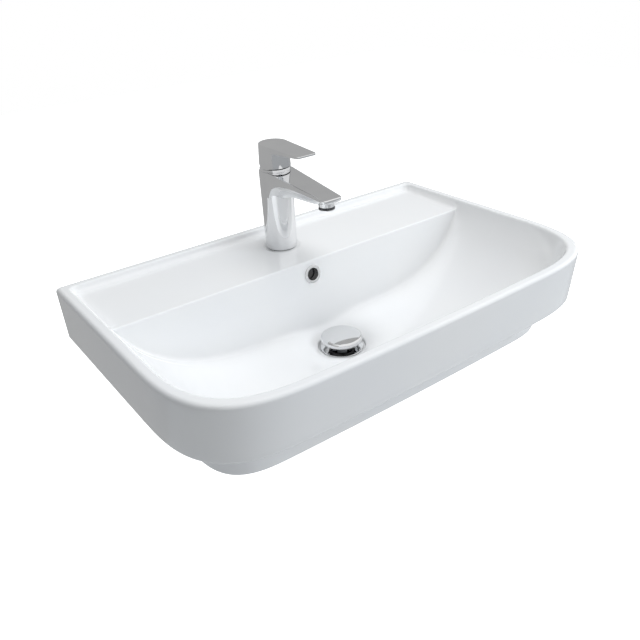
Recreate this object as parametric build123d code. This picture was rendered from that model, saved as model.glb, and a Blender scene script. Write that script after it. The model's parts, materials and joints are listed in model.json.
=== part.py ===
from build123d import *
import math
import os

# Wall-hung basin with a single-lever tap and a push-button waste.
# Millimetres. +Z is up, the wall is the plane y = 0 and the front is towards -Y.
# The origin is midway between the two wall-bolt holes, on the back face.

# Basin outline
WIDTH = 700.0
SIDE_DEPTH = 445.0
FRONT_BOW = 6.5
FRONT_CORNER = 184.0
BACK_CORNER = 6.0
CORNER_SOFTNESS = 0.853
CORNER_POWER = 3.5

# Basin heights, measured down from the rim
BOLT_DROP = 95.0
APRON_HEIGHT = 85.0
TIER_HEIGHT = 60.0
LEDGE_DROP_BACK = 10.0
LEDGE_DROP_FRONT = 14.0
BOWL_DROP = 117.0
DISH_DEPTH = 36.0
DISH_RADIUS = 44.7

# Basin draft and the step to the lower tier
SIDE_DRAFT = 1.6
FRONT_DRAFT = 10.9
TIER_INSET_SIDE = 47.0
TIER_INSET_FRONT = 58.0
TIER_CORNER = 104.5

# Basin walls and roundings
WALL = 12.0
BACK_WALL = 14.0
RIM_WIDTH = 15.5
RIM_BAND = 45.0
RIM_ROUND = 6.0
APRON_FOOT_ROUND = 4.0
TIER_FOOT_ROUND = 5.0
LEDGE_ROUND = 9.0
LEDGE_CORNER_ROUND = 12.0
LEDGE_THICKNESS = 14.0
PANEL_ROUND = 9.0

# Bowl shape
CREASE_Y = -155.0
PANEL_LEAN = 9.1
SIDE_POWER = 4.0
SIDE_SOFTNESS = 0.8
FRONT_WALL_LENGTH = 140.0
FRONT_WALL_POWER = 2.2
BLEND = 40.0
GRID_X = 61
GRID_Y = 41

# Wall bolts
BOLT_SPACING = 280.0
BOLT_HOLE_R = 7.0

# Waste hole and overflow
WASTE_Y = -227.0
WASTE_SEAT_DROP = 140.5
WASTE_HOLE_R = 23.0
WASTE_RECESS_R = 37.0
WASTE_BOSS_R = 47.0
WASTE_BOSS_DEPTH = 22.5
OVERFLOW_DROP = 36.3
OVERFLOW_HOLE_R = 12.0
OVERFLOW_RING_R = 14.5
OVERFLOW_RING_BORE_R = 10.0
OVERFLOW_RING_LIP = 2.0
OVERFLOW_RING_DEPTH = 9.0
DUCT_WIDTH = 28.0
DUCT_GAP = 10.0
DUCT_WALL = 8.0
DUCT_FLOOR = 6.0

# Tap on the ledge
TAP_Y = -75.0
TAP_HOLE_R = 17.5
SEAT_MARGIN = 2.0
SEAT_SINK = 0.4
BASE_SEAL_R = 24.0
BASE_SEAL_HEIGHT = 1.0

# Tap body, heights above its own base
COLUMN_BASE_R = 25.3
COLUMN_TOP_R = 26.2
BODY_HEIGHT = 126.0
BODY_TOP_CHAMFER = 1.3
SPOUT_REACH = 147.4
SPOUT_START = 13.0
SPOUT_TOP_AT_AXIS = 128.0
SPOUT_FALL = 0.105
SPOUT_HALF_AT_AXIS = 25.0
SPOUT_TAPER = 0.0575
SPOUT_TIP_ROUND = 5.0
SPOUT_EDGE = 5.3
SPOUT_SLOW_ROOT = 23.5
SPOUT_SLOW_RUN = 28.0
SPOUT_FAST_ROOT = 12.0
SPOUT_FAST_RUN = 4.0
SPOUT_BELLY = 20.0
SPOUT_BELLY_POWER = 4.5
SPOUT_BELLY_TIP = 0.7
SPOUT_STATIONS = (0.0, 0.03, 0.08, 0.17, 0.34, 0.58, 0.8, 0.93, 1.0)
HOLLOW_R = 19.0
HOLLOW_DEPTH = 62.0

# Cartridge, heights above the tap's base
CHAMBER_FLOOR = 94.0
CHAMBER_R = 17.6
NUT_BORE_R = 20.2
NUT_BORE_DEPTH = 10.0
FIT_GAP = 0.1
PRESS_GAP = 0.02
RUN_GAP = 0.05
PORT_SEAL_HEIGHT = 1.4
PORT_SEAL_R = 4.2
PORT_R = 2.6
PORT_X = 7.0
PORT_BACK = 4.0
OUTLET_FRONT = 8.0
HOUSING_FLOOR = 2.6
HOUSING_BORE_R = 13.0
HOUSING_TOP = 2.8
HOUSING_TOP_HEIGHT = 117.0
DISC_HEIGHT = 3.0
MOVING_DISC_R = 10.0
DRIVER_HEIGHT = 5.5
DRIVER_POCKET = 5.6
DRIVER_SLOT = 9.0
CARRIER_HEIGHT = 12.5
CARRIER_NECK_R = 10.5
CARRIER_SHOULDER = 4.0
SPINDLE_WIDTH = 8.0
SPINDLE_DEPTH = 7.0
SPINDLE_BALL_R = 2.6
SPINDLE_NECK_R = 1.9
SPINDLE_BALL_DROP = 11.0
PIN_R = 1.5
NUT_LIP = 3.5
NUT_HEX_R = 18.0
NUT_INNER_R = 11.5

# Lever, heights above the tap's base
PIVOT_HEIGHT = 118.0
LEVER_LIFT = 24.0
RING_HEIGHT = 4.0
RING_R = 24.5
LEVER_GAP = 1.5
HUB_R = 24.8
HUB_TOP_R = 23.2
HUB_HEIGHT = 35.2
HUB_WALL = 3.8
HUB_ROOF = 7.0
SKIRT_DEPTH = 12.5
LEVER_REACH = 89.0
LEVER_TIP_HALF = 17.5
LEVER_FALL = 0.03
BLADE_ROOT = 10.0
BLADE_TIP = 2.8
BLADE_TIP_ROUND = 6.0
BLADE_EDGE_ROUND = 0.8
SOCKET_BOSS_R = 9.0
GRUB_R = 2.5
GRUB_DROP = 15.0
CAP_R = 3.4
CAP_DEPTH = 3.0

# Aerator
AERATOR_Y = 130.0
AERATOR_R = 12.0
AERATOR_BORE_R = 10.0
AERATOR_HEIGHT = 15.0
AERATOR_LOW = 89.0
AERATOR_WASHER_HEIGHT = 1.5
AERATOR_FACE_SLOTS = 9
AERATOR_NOTCHES = 12
NOTCH_WIDTH = 2.4
NOTCH_DEPTH = 1.0
NOTCH_LOW = 1.5
NOTCH_HIGH = 5.5
CHANNEL_R = 3.6
CHANNEL_DROP = 19.0

# Tap fixing under the ledge
INLET_R = 4.5
INLET_DEPTH = 14.0
STUD_R = 4.0
STUD_FRONT = 12.0
STUD_HOLE_DEPTH = 8.0
STUD_BELOW_LEDGE = 34.0
HORSESHOE_R = 24.0
HORSESHOE_SLOT = 26.0
HORSESHOE_SLOT_EDGE = 4.0
HORSESHOE_SEAL_HEIGHT = 3.0
HORSESHOE_WASHER_HEIGHT = 2.5
FIXING_NUT_R = 7.5
FIXING_NUT_HEIGHT = 6.5

# Waste
FLANGE_R = 34.2
FLANGE_HEIGHT = 2.5
FLANGE_SEAL_HEIGHT = 1.0
TAIL_R = 20.95
TAIL_BORE_R = 18.5
THROAT_R = 22.0
THROAT_LOW_R = 20.4
THROAT_DEPTH = 7.0
NECK_R = 22.6
NECK_DEPTH = 9.0
TAIL_LENGTH = 88.0
TAIL_END_R = 20.0
TAIL_END_GAP = 0.5
TAIL_SLOT_WIDTH = 12.0
SPOKE_DEPTH = 4.0
SPOKE_WIDTH = 4.0
SPOKE_DROP = 24.0
WASTE_SEAL_HEIGHT = 4.0
WASTE_WASHER_HEIGHT = 1.5
WASTE_WASHER_R = 33.0
WASTE_NUT_R = 31.0
WASTE_NUT_HEIGHT = 10.0

# Plug and its push mechanism
PLUG_TRAVEL = 9.0
CAP_OUTER_R = 33.0
CAP_LIP_GAP = 0.5
CAP_EDGE_HEIGHT = 10.0
CAP_LIP_INSET = 3.6
CAP_WIDEST = 5.6
CAP_DOME = 2.2
CAP_SHELL = 2.5
PLUG_SEAL_R = 20.0
PLUG_SEAL_BORE_R = 12.0
PLUG_SEAL_HEIGHT = 5.5
STEM_R = 5.9
STEM_LENGTH = 33.0
BARREL_R = 8.0
BARREL_BORE_R = 5.95
BARREL_ABOVE_SPOKES = 20.0
BARREL_BELOW_SPOKES = 16.0
BARREL_FLOOR = 2.0
SPRING_WIRE_R = 0.6
SPRING_R = 4.6
SPRING_TURNS = 6
LATCH_R = 1.2
LATCH_REACH = 7.2
LATCH_HEIGHT = 3.0

HALF = WIDTH / 2
RIM_Z = BOLT_DROP
APRON_FOOT_Z = RIM_Z - APRON_HEIGHT
TIER_FOOT_Z = APRON_FOOT_Z - TIER_HEIGHT
LEDGE_FRONT_Z = RIM_Z - LEDGE_DROP_FRONT
LEDGE_FALL = (LEDGE_DROP_FRONT - LEDGE_DROP_BACK) / (-CREASE_Y - RIM_WIDTH)
SEAT_R = COLUMN_BASE_R + SEAT_MARGIN
TAP_SEAT_Z = LEDGE_FRONT_Z + LEDGE_FALL * (TAP_Y - SEAT_R - CREASE_Y) - SEAT_SINK
LEDGE_UNDER_Z = TAP_SEAT_Z - LEDGE_THICKNESS
TAP_Z = RIM_Z - LEDGE_DROP_BACK
TAP_FOOT_Z = TAP_SEAT_Z + BASE_SEAL_HEIGHT
WASTE_SEAT_Z = RIM_Z - WASTE_SEAT_DROP
BOSS_Z = WASTE_SEAT_Z - WASTE_BOSS_DEPTH
FLANGE_TOP_Z = WASTE_SEAT_Z + FLANGE_SEAL_HEIGHT + FLANGE_HEIGHT
TALL = 3 * WIDTH


def disc(r, low, high, x=0.0, y=0.0):
    """Upright cylinder between two heights."""
    return Pos(x, y, low) * Cylinder(r, high - low, align=(Align.CENTER, Align.CENTER, Align.MIN))


def ring(r, bore, low, high, x=0.0, y=0.0):
    """Upright ring between two heights."""
    return disc(r, low, high, x, y) - disc(bore, low - 1, high + 1, x, y)


def block(x0, x1, y0, y1, z0, z1):
    """Box between two corners."""
    place = Pos((x0 + x1) / 2, (y0 + y1) / 2, (z0 + z1) / 2)
    return place * Box(x1 - x0, y1 - y0, z1 - z0)


def rod(start, end, r):
    """Round bar between two points."""
    run = Vector(*end) - Vector(*start)
    face = Plane(origin=start, z_dir=run) * Circle(r)
    return extrude(face, amount=run.length)


def cone(low_r, high_r, low, high, y=0.0):
    """Upright cone between two heights."""
    place = Pos(0, y, low)
    return place * Cone(low_r, high_r, high - low, align=(Align.CENTER, Align.CENTER, Align.MIN))


def side_profile(points, half_width):
    """Closed outline in the YZ plane, carried both ways along X."""
    outline = Wire.make_polygon([Vector(-half_width, y, z) for y, z in points])
    return Solid.extrude(Face(outline), Vector(2 * half_width, 0, 0))


def d_outline(half_width, depth, corner, bow, back_round):
    """Plan outline: straight back and sides, soft front corners, gently bowed front."""
    side_end = -(depth - corner)
    front_x = half_width - corner
    front_y = -(depth + bow * (1 - (front_x / half_width) ** 2))
    sagitta = depth + bow + front_y
    bow_radius = (front_x**2 + sagitta**2) / (2 * sagitta)
    lean = math.asin(front_x / bow_radius)
    handle = CORNER_SOFTNESS * corner
    square = back_round * (1 - math.sqrt(0.5))
    edges = [Line((-half_width + back_round, 0), (half_width - back_round, 0))]
    edges.append(ThreePointArc((-front_x, front_y), (0, -depth - bow), (front_x, front_y)))
    for side in (-1, 1):
        wall_x = side * half_width
        corner_x = side * (half_width - back_round)
        middle = (side * (half_width - square), -square)
        edges.append(ThreePointArc((corner_x, 0), middle, (wall_x, -back_round)))
        edges.append(Line((wall_x, -back_round), (wall_x, side_end)))
        tangent = (side * (front_x + handle * math.cos(lean)), front_y + handle * math.sin(lean))
        edges.append(
            Bezier((wall_x, side_end), (wall_x, side_end - handle), tangent, (side * front_x, front_y))
        )
    return make_face(Wire(edges))


def smooth_max(a, b, width):
    """The larger of two heights below the rim, with a round where they cross that fades at the rim."""
    reach = min(width, -max(a, b))
    if reach <= 0:
        return max(a, b)
    mix = max(reach - abs(a - b), 0.0) / reach
    return max(a, b) + mix * mix * reach / 4


def bowl_height(x, y, wall):
    """Height of the bowl over a plan point, from the rim. wall moves it down and outwards."""
    half = HALF - RIM_WIDTH + wall
    drop = BOWL_DROP + wall
    rise = 1 - (abs(x) / half) ** SIDE_POWER
    trough = -drop * math.copysign(abs(rise) ** SIDE_SOFTNESS, rise)
    away = math.hypot(x, y - WASTE_Y) / DISH_RADIUS
    trough -= DISH_DEPTH * math.exp(-away * away)
    corner = FRONT_CORNER - RIM_WIDTH + wall
    depth = SIDE_DEPTH - RIM_WIDTH + wall
    bowed_y = y + FRONT_BOW * (1 - (x / HALF) ** 2)
    past_x = max(abs(x) - (half - corner), 0.0)
    past_y = max(-bowed_y - (depth - corner), 0.0)
    inward = corner - (past_x**CORNER_POWER + past_y**CORNER_POWER) ** (1 / CORNER_POWER)
    foot = drop + DISH_DEPTH + BLEND
    if inward < 0:
        front = -inward * foot * FRONT_WALL_POWER / FRONT_WALL_LENGTH
    else:
        left = max(1 - inward / FRONT_WALL_LENGTH, 0.0)
        front = -foot * (1 - left**FRONT_WALL_POWER)
    return smooth_max(trough, front, BLEND)


def bowl_block(wall):
    """Everything above the bowl's surface and in front of its leaning back panel."""
    reach_x = HALF + 2 * WALL
    start_y = CREASE_Y + 5 * WALL
    end_y = -(SIDE_DEPTH + FRONT_BOW + 2 * WALL)
    rows = []
    for i in range(GRID_X):
        x = reach_x * (2 * i / (GRID_X - 1) - 1)
        row = []
        for j in range(GRID_Y):
            y = start_y + (end_y - start_y) * j / (GRID_Y - 1)
            row.append(Vector(x, y, RIM_Z + bowl_height(x, y, wall)))
        rows.append(row)
    surface = Face.make_surface_from_array_of_points(rows, tol=0.05)
    above = extrude(surface, amount=WIDTH, dir=(0, 0, 1))
    front = panel_place(wall) * Box(TALL, TALL, TALL, align=(Align.CENTER, Align.MAX, Align.CENTER))
    bowl = (above & front).solids()[0]
    return fillet(bowl.edges().filter_by(lambda e: on_panel(e, wall)), PANEL_ROUND)


def panel_place(behind):
    """Frame of the back panel: local Y points back into the wall, local Z up the panel."""
    return Pos(0, CREASE_Y, LEDGE_FRONT_Z) * Rot(-PANEL_LEAN, 0, 0) * Pos(0, behind, 0)


def on_panel(edge, behind):
    """Whether an edge lies in the panel's plane."""
    lean = math.radians(PANEL_LEAN)
    middle = edge.position_at(0.5)
    back = (middle.Y - CREASE_Y) * math.cos(lean)
    up = (middle.Z - LEDGE_FRONT_Z) * math.sin(lean)
    return abs(back - up - behind) < 0.01


def ledge_block():
    """The shallow hollow of the tap ledge, with rounded foot and back corners."""
    half = HALF - RIM_WIDTH
    end_y = CREASE_Y - 1
    top = RIM_Z + 3 * WALL
    low_back = LEDGE_FRONT_Z + LEDGE_FALL * (-RIM_WIDTH - CREASE_Y)
    low_front = LEDGE_FRONT_Z - LEDGE_FALL
    points = [(-RIM_WIDTH, low_back), (-RIM_WIDTH, top), (end_y, top), (end_y, low_front)]
    hollow = side_profile(points, half)
    upright = hollow.edges().filter_by(Axis.Z).group_by(Axis.Y)[-1]
    hollow = fillet(upright, LEDGE_CORNER_ROUND)
    foot = hollow.faces().sort_by(Axis.Z)[0].edges()
    return fillet(foot.sort_by(Axis.Y)[1:], LEDGE_ROUND)


def outer_shell():
    """Apron and lower tier as solid blocks."""
    foot = d_outline(
        HALF - SIDE_DRAFT,
        SIDE_DEPTH - FRONT_DRAFT,
        FRONT_CORNER - FRONT_DRAFT - SIDE_DRAFT,
        FRONT_BOW,
        BACK_CORNER,
    )
    top = d_outline(HALF, SIDE_DEPTH, FRONT_CORNER, FRONT_BOW, BACK_CORNER)
    apron = loft([Pos(0, 0, APRON_FOOT_Z) * foot, Pos(0, 0, RIM_Z) * top], ruled=True)
    apron = fillet(apron.edges().group_by(Axis.Z)[-1], RIM_ROUND)
    apron = fillet(apron.edges().group_by(Axis.Z)[0], APRON_FOOT_ROUND)
    plan = d_outline(
        HALF - TIER_INSET_SIDE,
        SIDE_DEPTH - TIER_INSET_FRONT,
        TIER_CORNER,
        FRONT_BOW,
        BACK_CORNER,
    )
    tier = extrude(Pos(0, 0, TIER_FOOT_Z) * plan, amount=TIER_HEIGHT + WALL)
    tier = fillet(tier.edges().group_by(Axis.Z)[0], TIER_FOOT_ROUND)
    return apron + tier


def under_hollow():
    """The open space under the bowl, inside the apron and the lower tier."""
    tier = d_outline(
        HALF - TIER_INSET_SIDE - WALL,
        SIDE_DEPTH - TIER_INSET_FRONT - WALL - BACK_WALL,
        TIER_CORNER - WALL,
        FRONT_BOW,
        BACK_CORNER,
    )
    apron = d_outline(
        HALF - SIDE_DRAFT - WALL,
        SIDE_DEPTH - FRONT_DRAFT - WALL - BACK_WALL,
        FRONT_CORNER - FRONT_DRAFT - WALL,
        FRONT_BOW,
        BACK_CORNER,
    )
    top = RIM_Z - RIM_BAND
    low = TIER_FOOT_Z - WALL
    shelf = APRON_FOOT_Z + WALL
    hollow = extrude(Pos(0, -BACK_WALL, low) * tier, amount=top - low)
    hollow += extrude(Pos(0, -BACK_WALL, shelf) * apron, amount=top - shelf)
    pocket_half = HALF - TIER_INSET_SIDE - WALL
    hollow += block(-pocket_half, pocket_half, CREASE_Y, -BACK_WALL, shelf, LEDGE_UNDER_Z)
    return hollow - bowl_block(WALL)


def duct_outside():
    """The rib behind and under the bowl that holds the overflow passage, and the waste boss."""
    half = DUCT_WIDTH / 2 + DUCT_WALL
    back = WALL + DUCT_GAP + DUCT_WALL
    rib = panel_place(0) * block(-half, half, 0, back, -TALL / 2, TALL / 2)
    rib &= block(-half, half, -SIDE_DEPTH, 0, BOSS_Z, LEDGE_UNDER_Z)
    foot = block(-half, half, WASTE_Y, CREASE_Y, BOSS_Z, WASTE_SEAT_Z)
    boss = disc(WASTE_BOSS_R, BOSS_Z, RIM_Z - BOWL_DROP, y=WASTE_Y)
    return rib + foot + boss


def duct_inside():
    """The overflow passage: down behind the panel, then forward under the floor."""
    half = DUCT_WIDTH / 2
    low = BOSS_Z + DUCT_FLOOR
    top = RIM_Z - OVERFLOW_DROP + OVERFLOW_HOLE_R
    shaft = panel_place(WALL) * block(-half, half, 0, DUCT_GAP, -TALL / 2, TALL / 2)
    shaft &= block(-half, half, -SIDE_DEPTH, 0, low, top)
    drain = block(-half, half, WASTE_Y, CREASE_Y - WALL, low, low + DUCT_GAP)
    return shaft + drain


def overflow_place():
    """Frame on the panel at the overflow hole: local Y points back along the hole."""
    lean = math.radians(PANEL_LEAN)
    down = (OVERFLOW_DROP - LEDGE_DROP_FRONT) / math.cos(lean)
    return panel_place(0) * Pos(0, 0, -down)


def overflow_rod(r, front, back):
    """Round bar along the overflow hole, between two distances behind the panel."""
    return overflow_place() * rod((0, front, 0), (0, back, 0), r)


def waste_recess():
    """Flat seat for the waste's flange, with the hole through the boss."""
    seat = disc(WASTE_RECESS_R, WASTE_SEAT_Z, RIM_Z - BOWL_DROP, y=WASTE_Y)
    return seat + disc(WASTE_HOLE_R, BOSS_Z - 1, RIM_Z - BOWL_DROP, y=WASTE_Y)


def make_basin():
    """One ceramic casting."""
    ceramic = outer_shell() - under_hollow() + duct_outside()
    ceramic -= bowl_block(0.0) + ledge_block()
    ceramic -= duct_inside()
    ceramic -= overflow_rod(OVERFLOW_HOLE_R, -WALL, WALL + 1)
    ceramic -= waste_recess()
    ceramic -= disc(SEAT_R, TAP_SEAT_Z, RIM_Z, y=TAP_Y)
    ceramic -= disc(TAP_HOLE_R, LEDGE_UNDER_Z - 1, RIM_Z, y=TAP_Y)
    for side in (-1, 1):
        x = side * BOLT_SPACING / 2
        ceramic -= rod((x, -BACK_WALL - 1, 0), (x, 1, 0), BOLT_HOLE_R)
    return ceramic


def make_overflow_ring():
    """Flanged ring in the overflow hole, its lip on the panel."""
    lip = overflow_rod(OVERFLOW_RING_R, -OVERFLOW_RING_LIP, 0)
    sleeve = overflow_rod(OVERFLOW_HOLE_R - FIT_GAP, 0, OVERFLOW_RING_DEPTH)
    body = lip + sleeve - overflow_rod(OVERFLOW_RING_BORE_R, -WALL, WALL)
    front = body.edges().filter_by(GeomType.CIRCLE).sort_by(Axis.Y)[:2]
    return fillet(front, OVERFLOW_RING_LIP * 0.4)


def spout_section(front):
    """One cross-section of the spout: half width, top, lower side edge and belly height."""
    half = SPOUT_HALF_AT_AXIS - SPOUT_TAPER * front
    top = SPOUT_TOP_AT_AXIS - SPOUT_FALL * front
    past = front - SPOUT_START
    side = top - SPOUT_EDGE
    side -= SPOUT_SLOW_ROOT * math.exp(-past / SPOUT_SLOW_RUN)
    side -= SPOUT_FAST_ROOT * math.exp(-past / SPOUT_FAST_RUN)
    belly = side - SPOUT_BELLY_TIP
    belly -= SPOUT_BELLY * (1 - min(front / SPOUT_REACH, 1.0) ** SPOUT_BELLY_POWER)
    return half, top, side, belly


def spout_face(front):
    """The spout's cross-section as a face: flat top, upright sides, rounded belly."""
    half, top, side, belly = spout_section(front)
    y = TAP_Y - front
    corners = [(-half, y, side), (-half, y, top), (half, y, top), (half, y, side)]
    edges = [Line(corners[i], corners[i + 1]) for i in range(3)]
    edges.append(ThreePointArc(corners[3], (0, y, belly), corners[0]))
    return Face(Wire(edges))


def make_spout():
    """The spout, lofted through its cross-sections, with rounded tip corners."""
    reaches = [SPOUT_START + (SPOUT_REACH - SPOUT_START) * t for t in SPOUT_STATIONS]
    spout = loft([spout_face(front) for front in reaches])
    end = spout.faces().sort_by(Axis.Y)[0].edges()
    tip = end.filter_by(lambda e: abs((e @ 0).X - (e @ 1).X) < FIT_GAP)
    return fillet(tip, SPOUT_TIP_ROUND)


def make_tap_body():
    """Column and spout in one casting, with its chamber, hollow foot and water ways."""
    shoulder = BODY_HEIGHT - BODY_TOP_CHAMFER
    foot = TAP_FOOT_Z - TAP_Z
    body = cone(COLUMN_BASE_R, COLUMN_TOP_R, foot, shoulder, TAP_Y)
    body += cone(COLUMN_TOP_R, COLUMN_TOP_R - BODY_TOP_CHAMFER, shoulder, BODY_HEIGHT, TAP_Y)
    body += make_spout()
    nut_floor = BODY_HEIGHT - NUT_BORE_DEPTH
    body -= disc(CHAMBER_R, CHAMBER_FLOOR, nut_floor + 1, y=TAP_Y)
    body -= disc(NUT_BORE_R, nut_floor, BODY_HEIGHT + WALL, y=TAP_Y)
    body -= disc(COLUMN_TOP_R, BODY_HEIGHT, BODY_HEIGHT + WALL, y=TAP_Y)
    body -= disc(HOLLOW_R, foot - 1, HOLLOW_DEPTH, y=TAP_Y)
    for x, y in port_places()[:2]:
        body -= disc(INLET_R, HOLLOW_DEPTH - 1, HOLLOW_DEPTH + INLET_DEPTH, x, y)
        body -= disc(PORT_R, HOLLOW_DEPTH, CHAMBER_FLOOR + 1, x, y)
    body -= water_way()
    body -= disc(AERATOR_R + FIT_GAP, 0, aerator_seat_height(), y=TAP_Y - AERATOR_Y)
    stud_y = TAP_Y - STUD_FRONT
    body -= disc(STUD_R, HOLLOW_DEPTH - 1, HOLLOW_DEPTH + STUD_HOLE_DEPTH, y=stud_y)
    return Pos(0, 0, TAP_Z) * body


def water_way():
    """The passage from the cartridge's outlet along the spout to the aerator."""
    outlet_y = port_places()[2][1]
    low = CHAMBER_FLOOR - CHANNEL_DROP
    start = (0, outlet_y, low)
    knee = (0, TAP_Y - 2 * CHAMBER_R, CHAMBER_FLOOR + CHANNEL_R)
    end_y = TAP_Y - AERATOR_Y
    end = (0, end_y, aerator_seat_height() + CHANNEL_R / 2)
    way = disc(PORT_R, low, CHAMBER_FLOOR + 1, y=outlet_y) + Pos(*start) * Sphere(PORT_R)
    way += rod(start, knee, PORT_R)
    way += Pos(*knee) * Sphere(CHANNEL_R)
    way += rod(knee, end, CHANNEL_R)
    way += Pos(*end) * Sphere(CHANNEL_R)
    return way + disc(CHANNEL_R, AERATOR_LOW, end[2], y=end_y)


def port_places():
    """The cartridge's two inlets and its outlet, in plan."""
    back = TAP_Y + PORT_BACK
    return [(-PORT_X, back), (PORT_X, back), (0, TAP_Y - OUTLET_FRONT)]


def aerator_seat_height():
    """Height of the aerator's seat inside the spout, above the tap's base."""
    return AERATOR_LOW + AERATOR_HEIGHT + AERATOR_WASHER_HEIGHT


def port_holes(r, low, high):
    """Three upright bars, one for each port."""
    return Compound([disc(r, low, high, x, y) for x, y in port_places()])


def make_base_seal():
    """Rubber ring between the tap and the ceramic."""
    return ring(BASE_SEAL_R, HOLLOW_R, TAP_SEAT_Z, TAP_FOOT_Z, y=TAP_Y)


def make_port_seals():
    """Three rubber rings under the cartridge."""
    low = TAP_Z + CHAMBER_FLOOR
    rings = [ring(PORT_SEAL_R, PORT_R, low, low + PORT_SEAL_HEIGHT, x, y) for x, y in port_places()]
    return Compound(rings)


def make_housing():
    """The cartridge's case: floor with three ports, a bore, and a top with a round opening."""
    low = TAP_Z + CHAMBER_FLOOR + PORT_SEAL_HEIGHT
    top = TAP_Z + HOUSING_TOP_HEIGHT
    case = disc(CHAMBER_R - FIT_GAP, low, top, y=TAP_Y)
    case -= disc(HOUSING_BORE_R, low + HOUSING_FLOOR, top - HOUSING_TOP, y=TAP_Y)
    case -= disc(CARRIER_NECK_R + RUN_GAP, top - HOUSING_TOP - 1, top + 1, y=TAP_Y)
    return case - port_holes(PORT_R, low - 1, low + HOUSING_FLOOR + 1)


def disc_low():
    """Height of the fixed disc's underside."""
    return TAP_Z + CHAMBER_FLOOR + PORT_SEAL_HEIGHT + HOUSING_FLOOR


def make_fixed_disc():
    """Ceramic disc with three ports, still in the housing."""
    low = disc_low()
    plate = disc(HOUSING_BORE_R - FIT_GAP, low, low + DISC_HEIGHT, y=TAP_Y)
    return plate - port_holes(PORT_R, low - 1, low + DISC_HEIGHT + 1)


def make_moving_disc():
    """Ceramic disc that slides over the fixed one, with a blind pocket under it."""
    low = disc_low() + DISC_HEIGHT + RUN_GAP
    y = TAP_Y + slide_travel() / 2
    plate = disc(MOVING_DISC_R, low, low + DISC_HEIGHT, y=y)
    pocket = disc(MOVING_DISC_R / 2, low - 1, low + DISC_HEIGHT / 2, y=y)
    return plate - pocket


def slide_travel():
    """How far the moving disc slides over the lever's full lift."""
    return SPINDLE_BALL_DROP * math.sin(math.radians(LEVER_LIFT))


def make_driver():
    """Plastic block on the moving disc; the spindle's ball sits in its pocket."""
    low = disc_low() + 2 * DISC_HEIGHT + RUN_GAP
    top = low + DRIVER_HEIGHT
    plate = disc(MOVING_DISC_R, low, top, y=TAP_Y + slide_travel() / 2)
    half = DRIVER_POCKET / 2
    neck = pivot_z() - SPINDLE_BALL_DROP + SPINDLE_BALL_R / 2
    plate -= block(-half, half, TAP_Y - half, TAP_Y + half, low - 1, top + 1)
    wide = DRIVER_SLOT / 2
    return plate - block(-half, half, TAP_Y - wide, TAP_Y + wide, neck, top + 1)


def pivot_z():
    """Height of the lever's tilt axis."""
    return TAP_Z + PIVOT_HEIGHT


def make_carrier():
    """The cartridge part that turns with the lever, slotted for the tilting spindle."""
    top = TAP_Z + HOUSING_TOP_HEIGHT
    low = top - HOUSING_TOP - CARRIER_SHOULDER
    high = low + CARRIER_HEIGHT
    carrier = disc(HOUSING_BORE_R - 2 * RUN_GAP, low, top - HOUSING_TOP - RUN_GAP, y=TAP_Y)
    carrier += disc(CARRIER_NECK_R, low, high, y=TAP_Y)
    half = SPINDLE_WIDTH / 2 + FIT_GAP
    tilt = math.radians(LEVER_LIFT)
    edge = SPINDLE_DEPTH / 2 / math.cos(tilt) + FIT_GAP
    forward = (pivot_z() - low) * math.tan(tilt) + edge
    backward = (high - pivot_z()) * math.tan(tilt) + edge
    carrier -= block(-half, half, TAP_Y - forward, TAP_Y + backward, low - 1, high + 1)
    return carrier - rod((-HALF, TAP_Y, pivot_z()), (HALF, TAP_Y, pivot_z()), PIN_R + PRESS_GAP)


def make_pin():
    """The lever's pivot pin, held in the carrier."""
    half = math.sqrt(CARRIER_NECK_R**2 - PIN_R**2) - FIT_GAP
    return rod((-half, TAP_Y, pivot_z()), (half, TAP_Y, pivot_z()), PIN_R)


def make_spindle():
    """Square spindle up into the lever, with a ball at its foot."""
    z = pivot_z()
    half_x = SPINDLE_WIDTH / 2
    half_y = SPINDLE_DEPTH / 2
    foot = z - SPINDLE_BALL_DROP
    low = z - SPINDLE_BALL_DROP / 2
    bar = block(-half_x, half_x, TAP_Y - half_y, TAP_Y + half_y, low, lever_roof_z() - PRESS_GAP)
    bar += disc(SPINDLE_NECK_R, foot, low, y=TAP_Y)
    bar += Pos(0, TAP_Y, foot) * Sphere(SPINDLE_BALL_R)
    return bar - rod((-HALF, TAP_Y, z), (HALF, TAP_Y, z), PIN_R + RUN_GAP)


def make_nut():
    """Threaded ring with a hexagon on top, which holds the cartridge down."""
    low = TAP_Z + HOUSING_TOP_HEIGHT
    top = TAP_Z + BODY_HEIGHT
    nut = disc(NUT_BORE_R - FIT_GAP, low, top, y=TAP_Y)
    nut += extrude(Pos(0, TAP_Y, top) * RegularPolygon(NUT_HEX_R, 6), amount=NUT_LIP)
    return nut - disc(NUT_INNER_R, low - 1, top + NUT_LIP + 1, y=TAP_Y)


def make_cover_ring():
    """Chrome ring on the body's top, round the nut."""
    low = TAP_Z + BODY_HEIGHT
    cover = ring(RING_R, NUT_HEX_R + FIT_GAP, low, low + RING_HEIGHT, y=TAP_Y)
    upper = cover.edges().group_by(Axis.Z)[-1].sort_by(SortBy.RADIUS)[-1]
    return fillet(upper, RING_HEIGHT / 4)


def hub_low_z():
    """Height of the lever hub's lower edge."""
    return TAP_Z + BODY_HEIGHT + RING_HEIGHT + LEVER_GAP


def lever_top_z(front):
    """Height of the lever's flat top at a distance in front of the tap's axis."""
    return hub_low_z() + HUB_HEIGHT - LEVER_FALL * front


def lever_roof_z():
    """Height of the hollow hub's ceiling."""
    return lever_top_z(0) - HUB_ROOF


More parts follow.
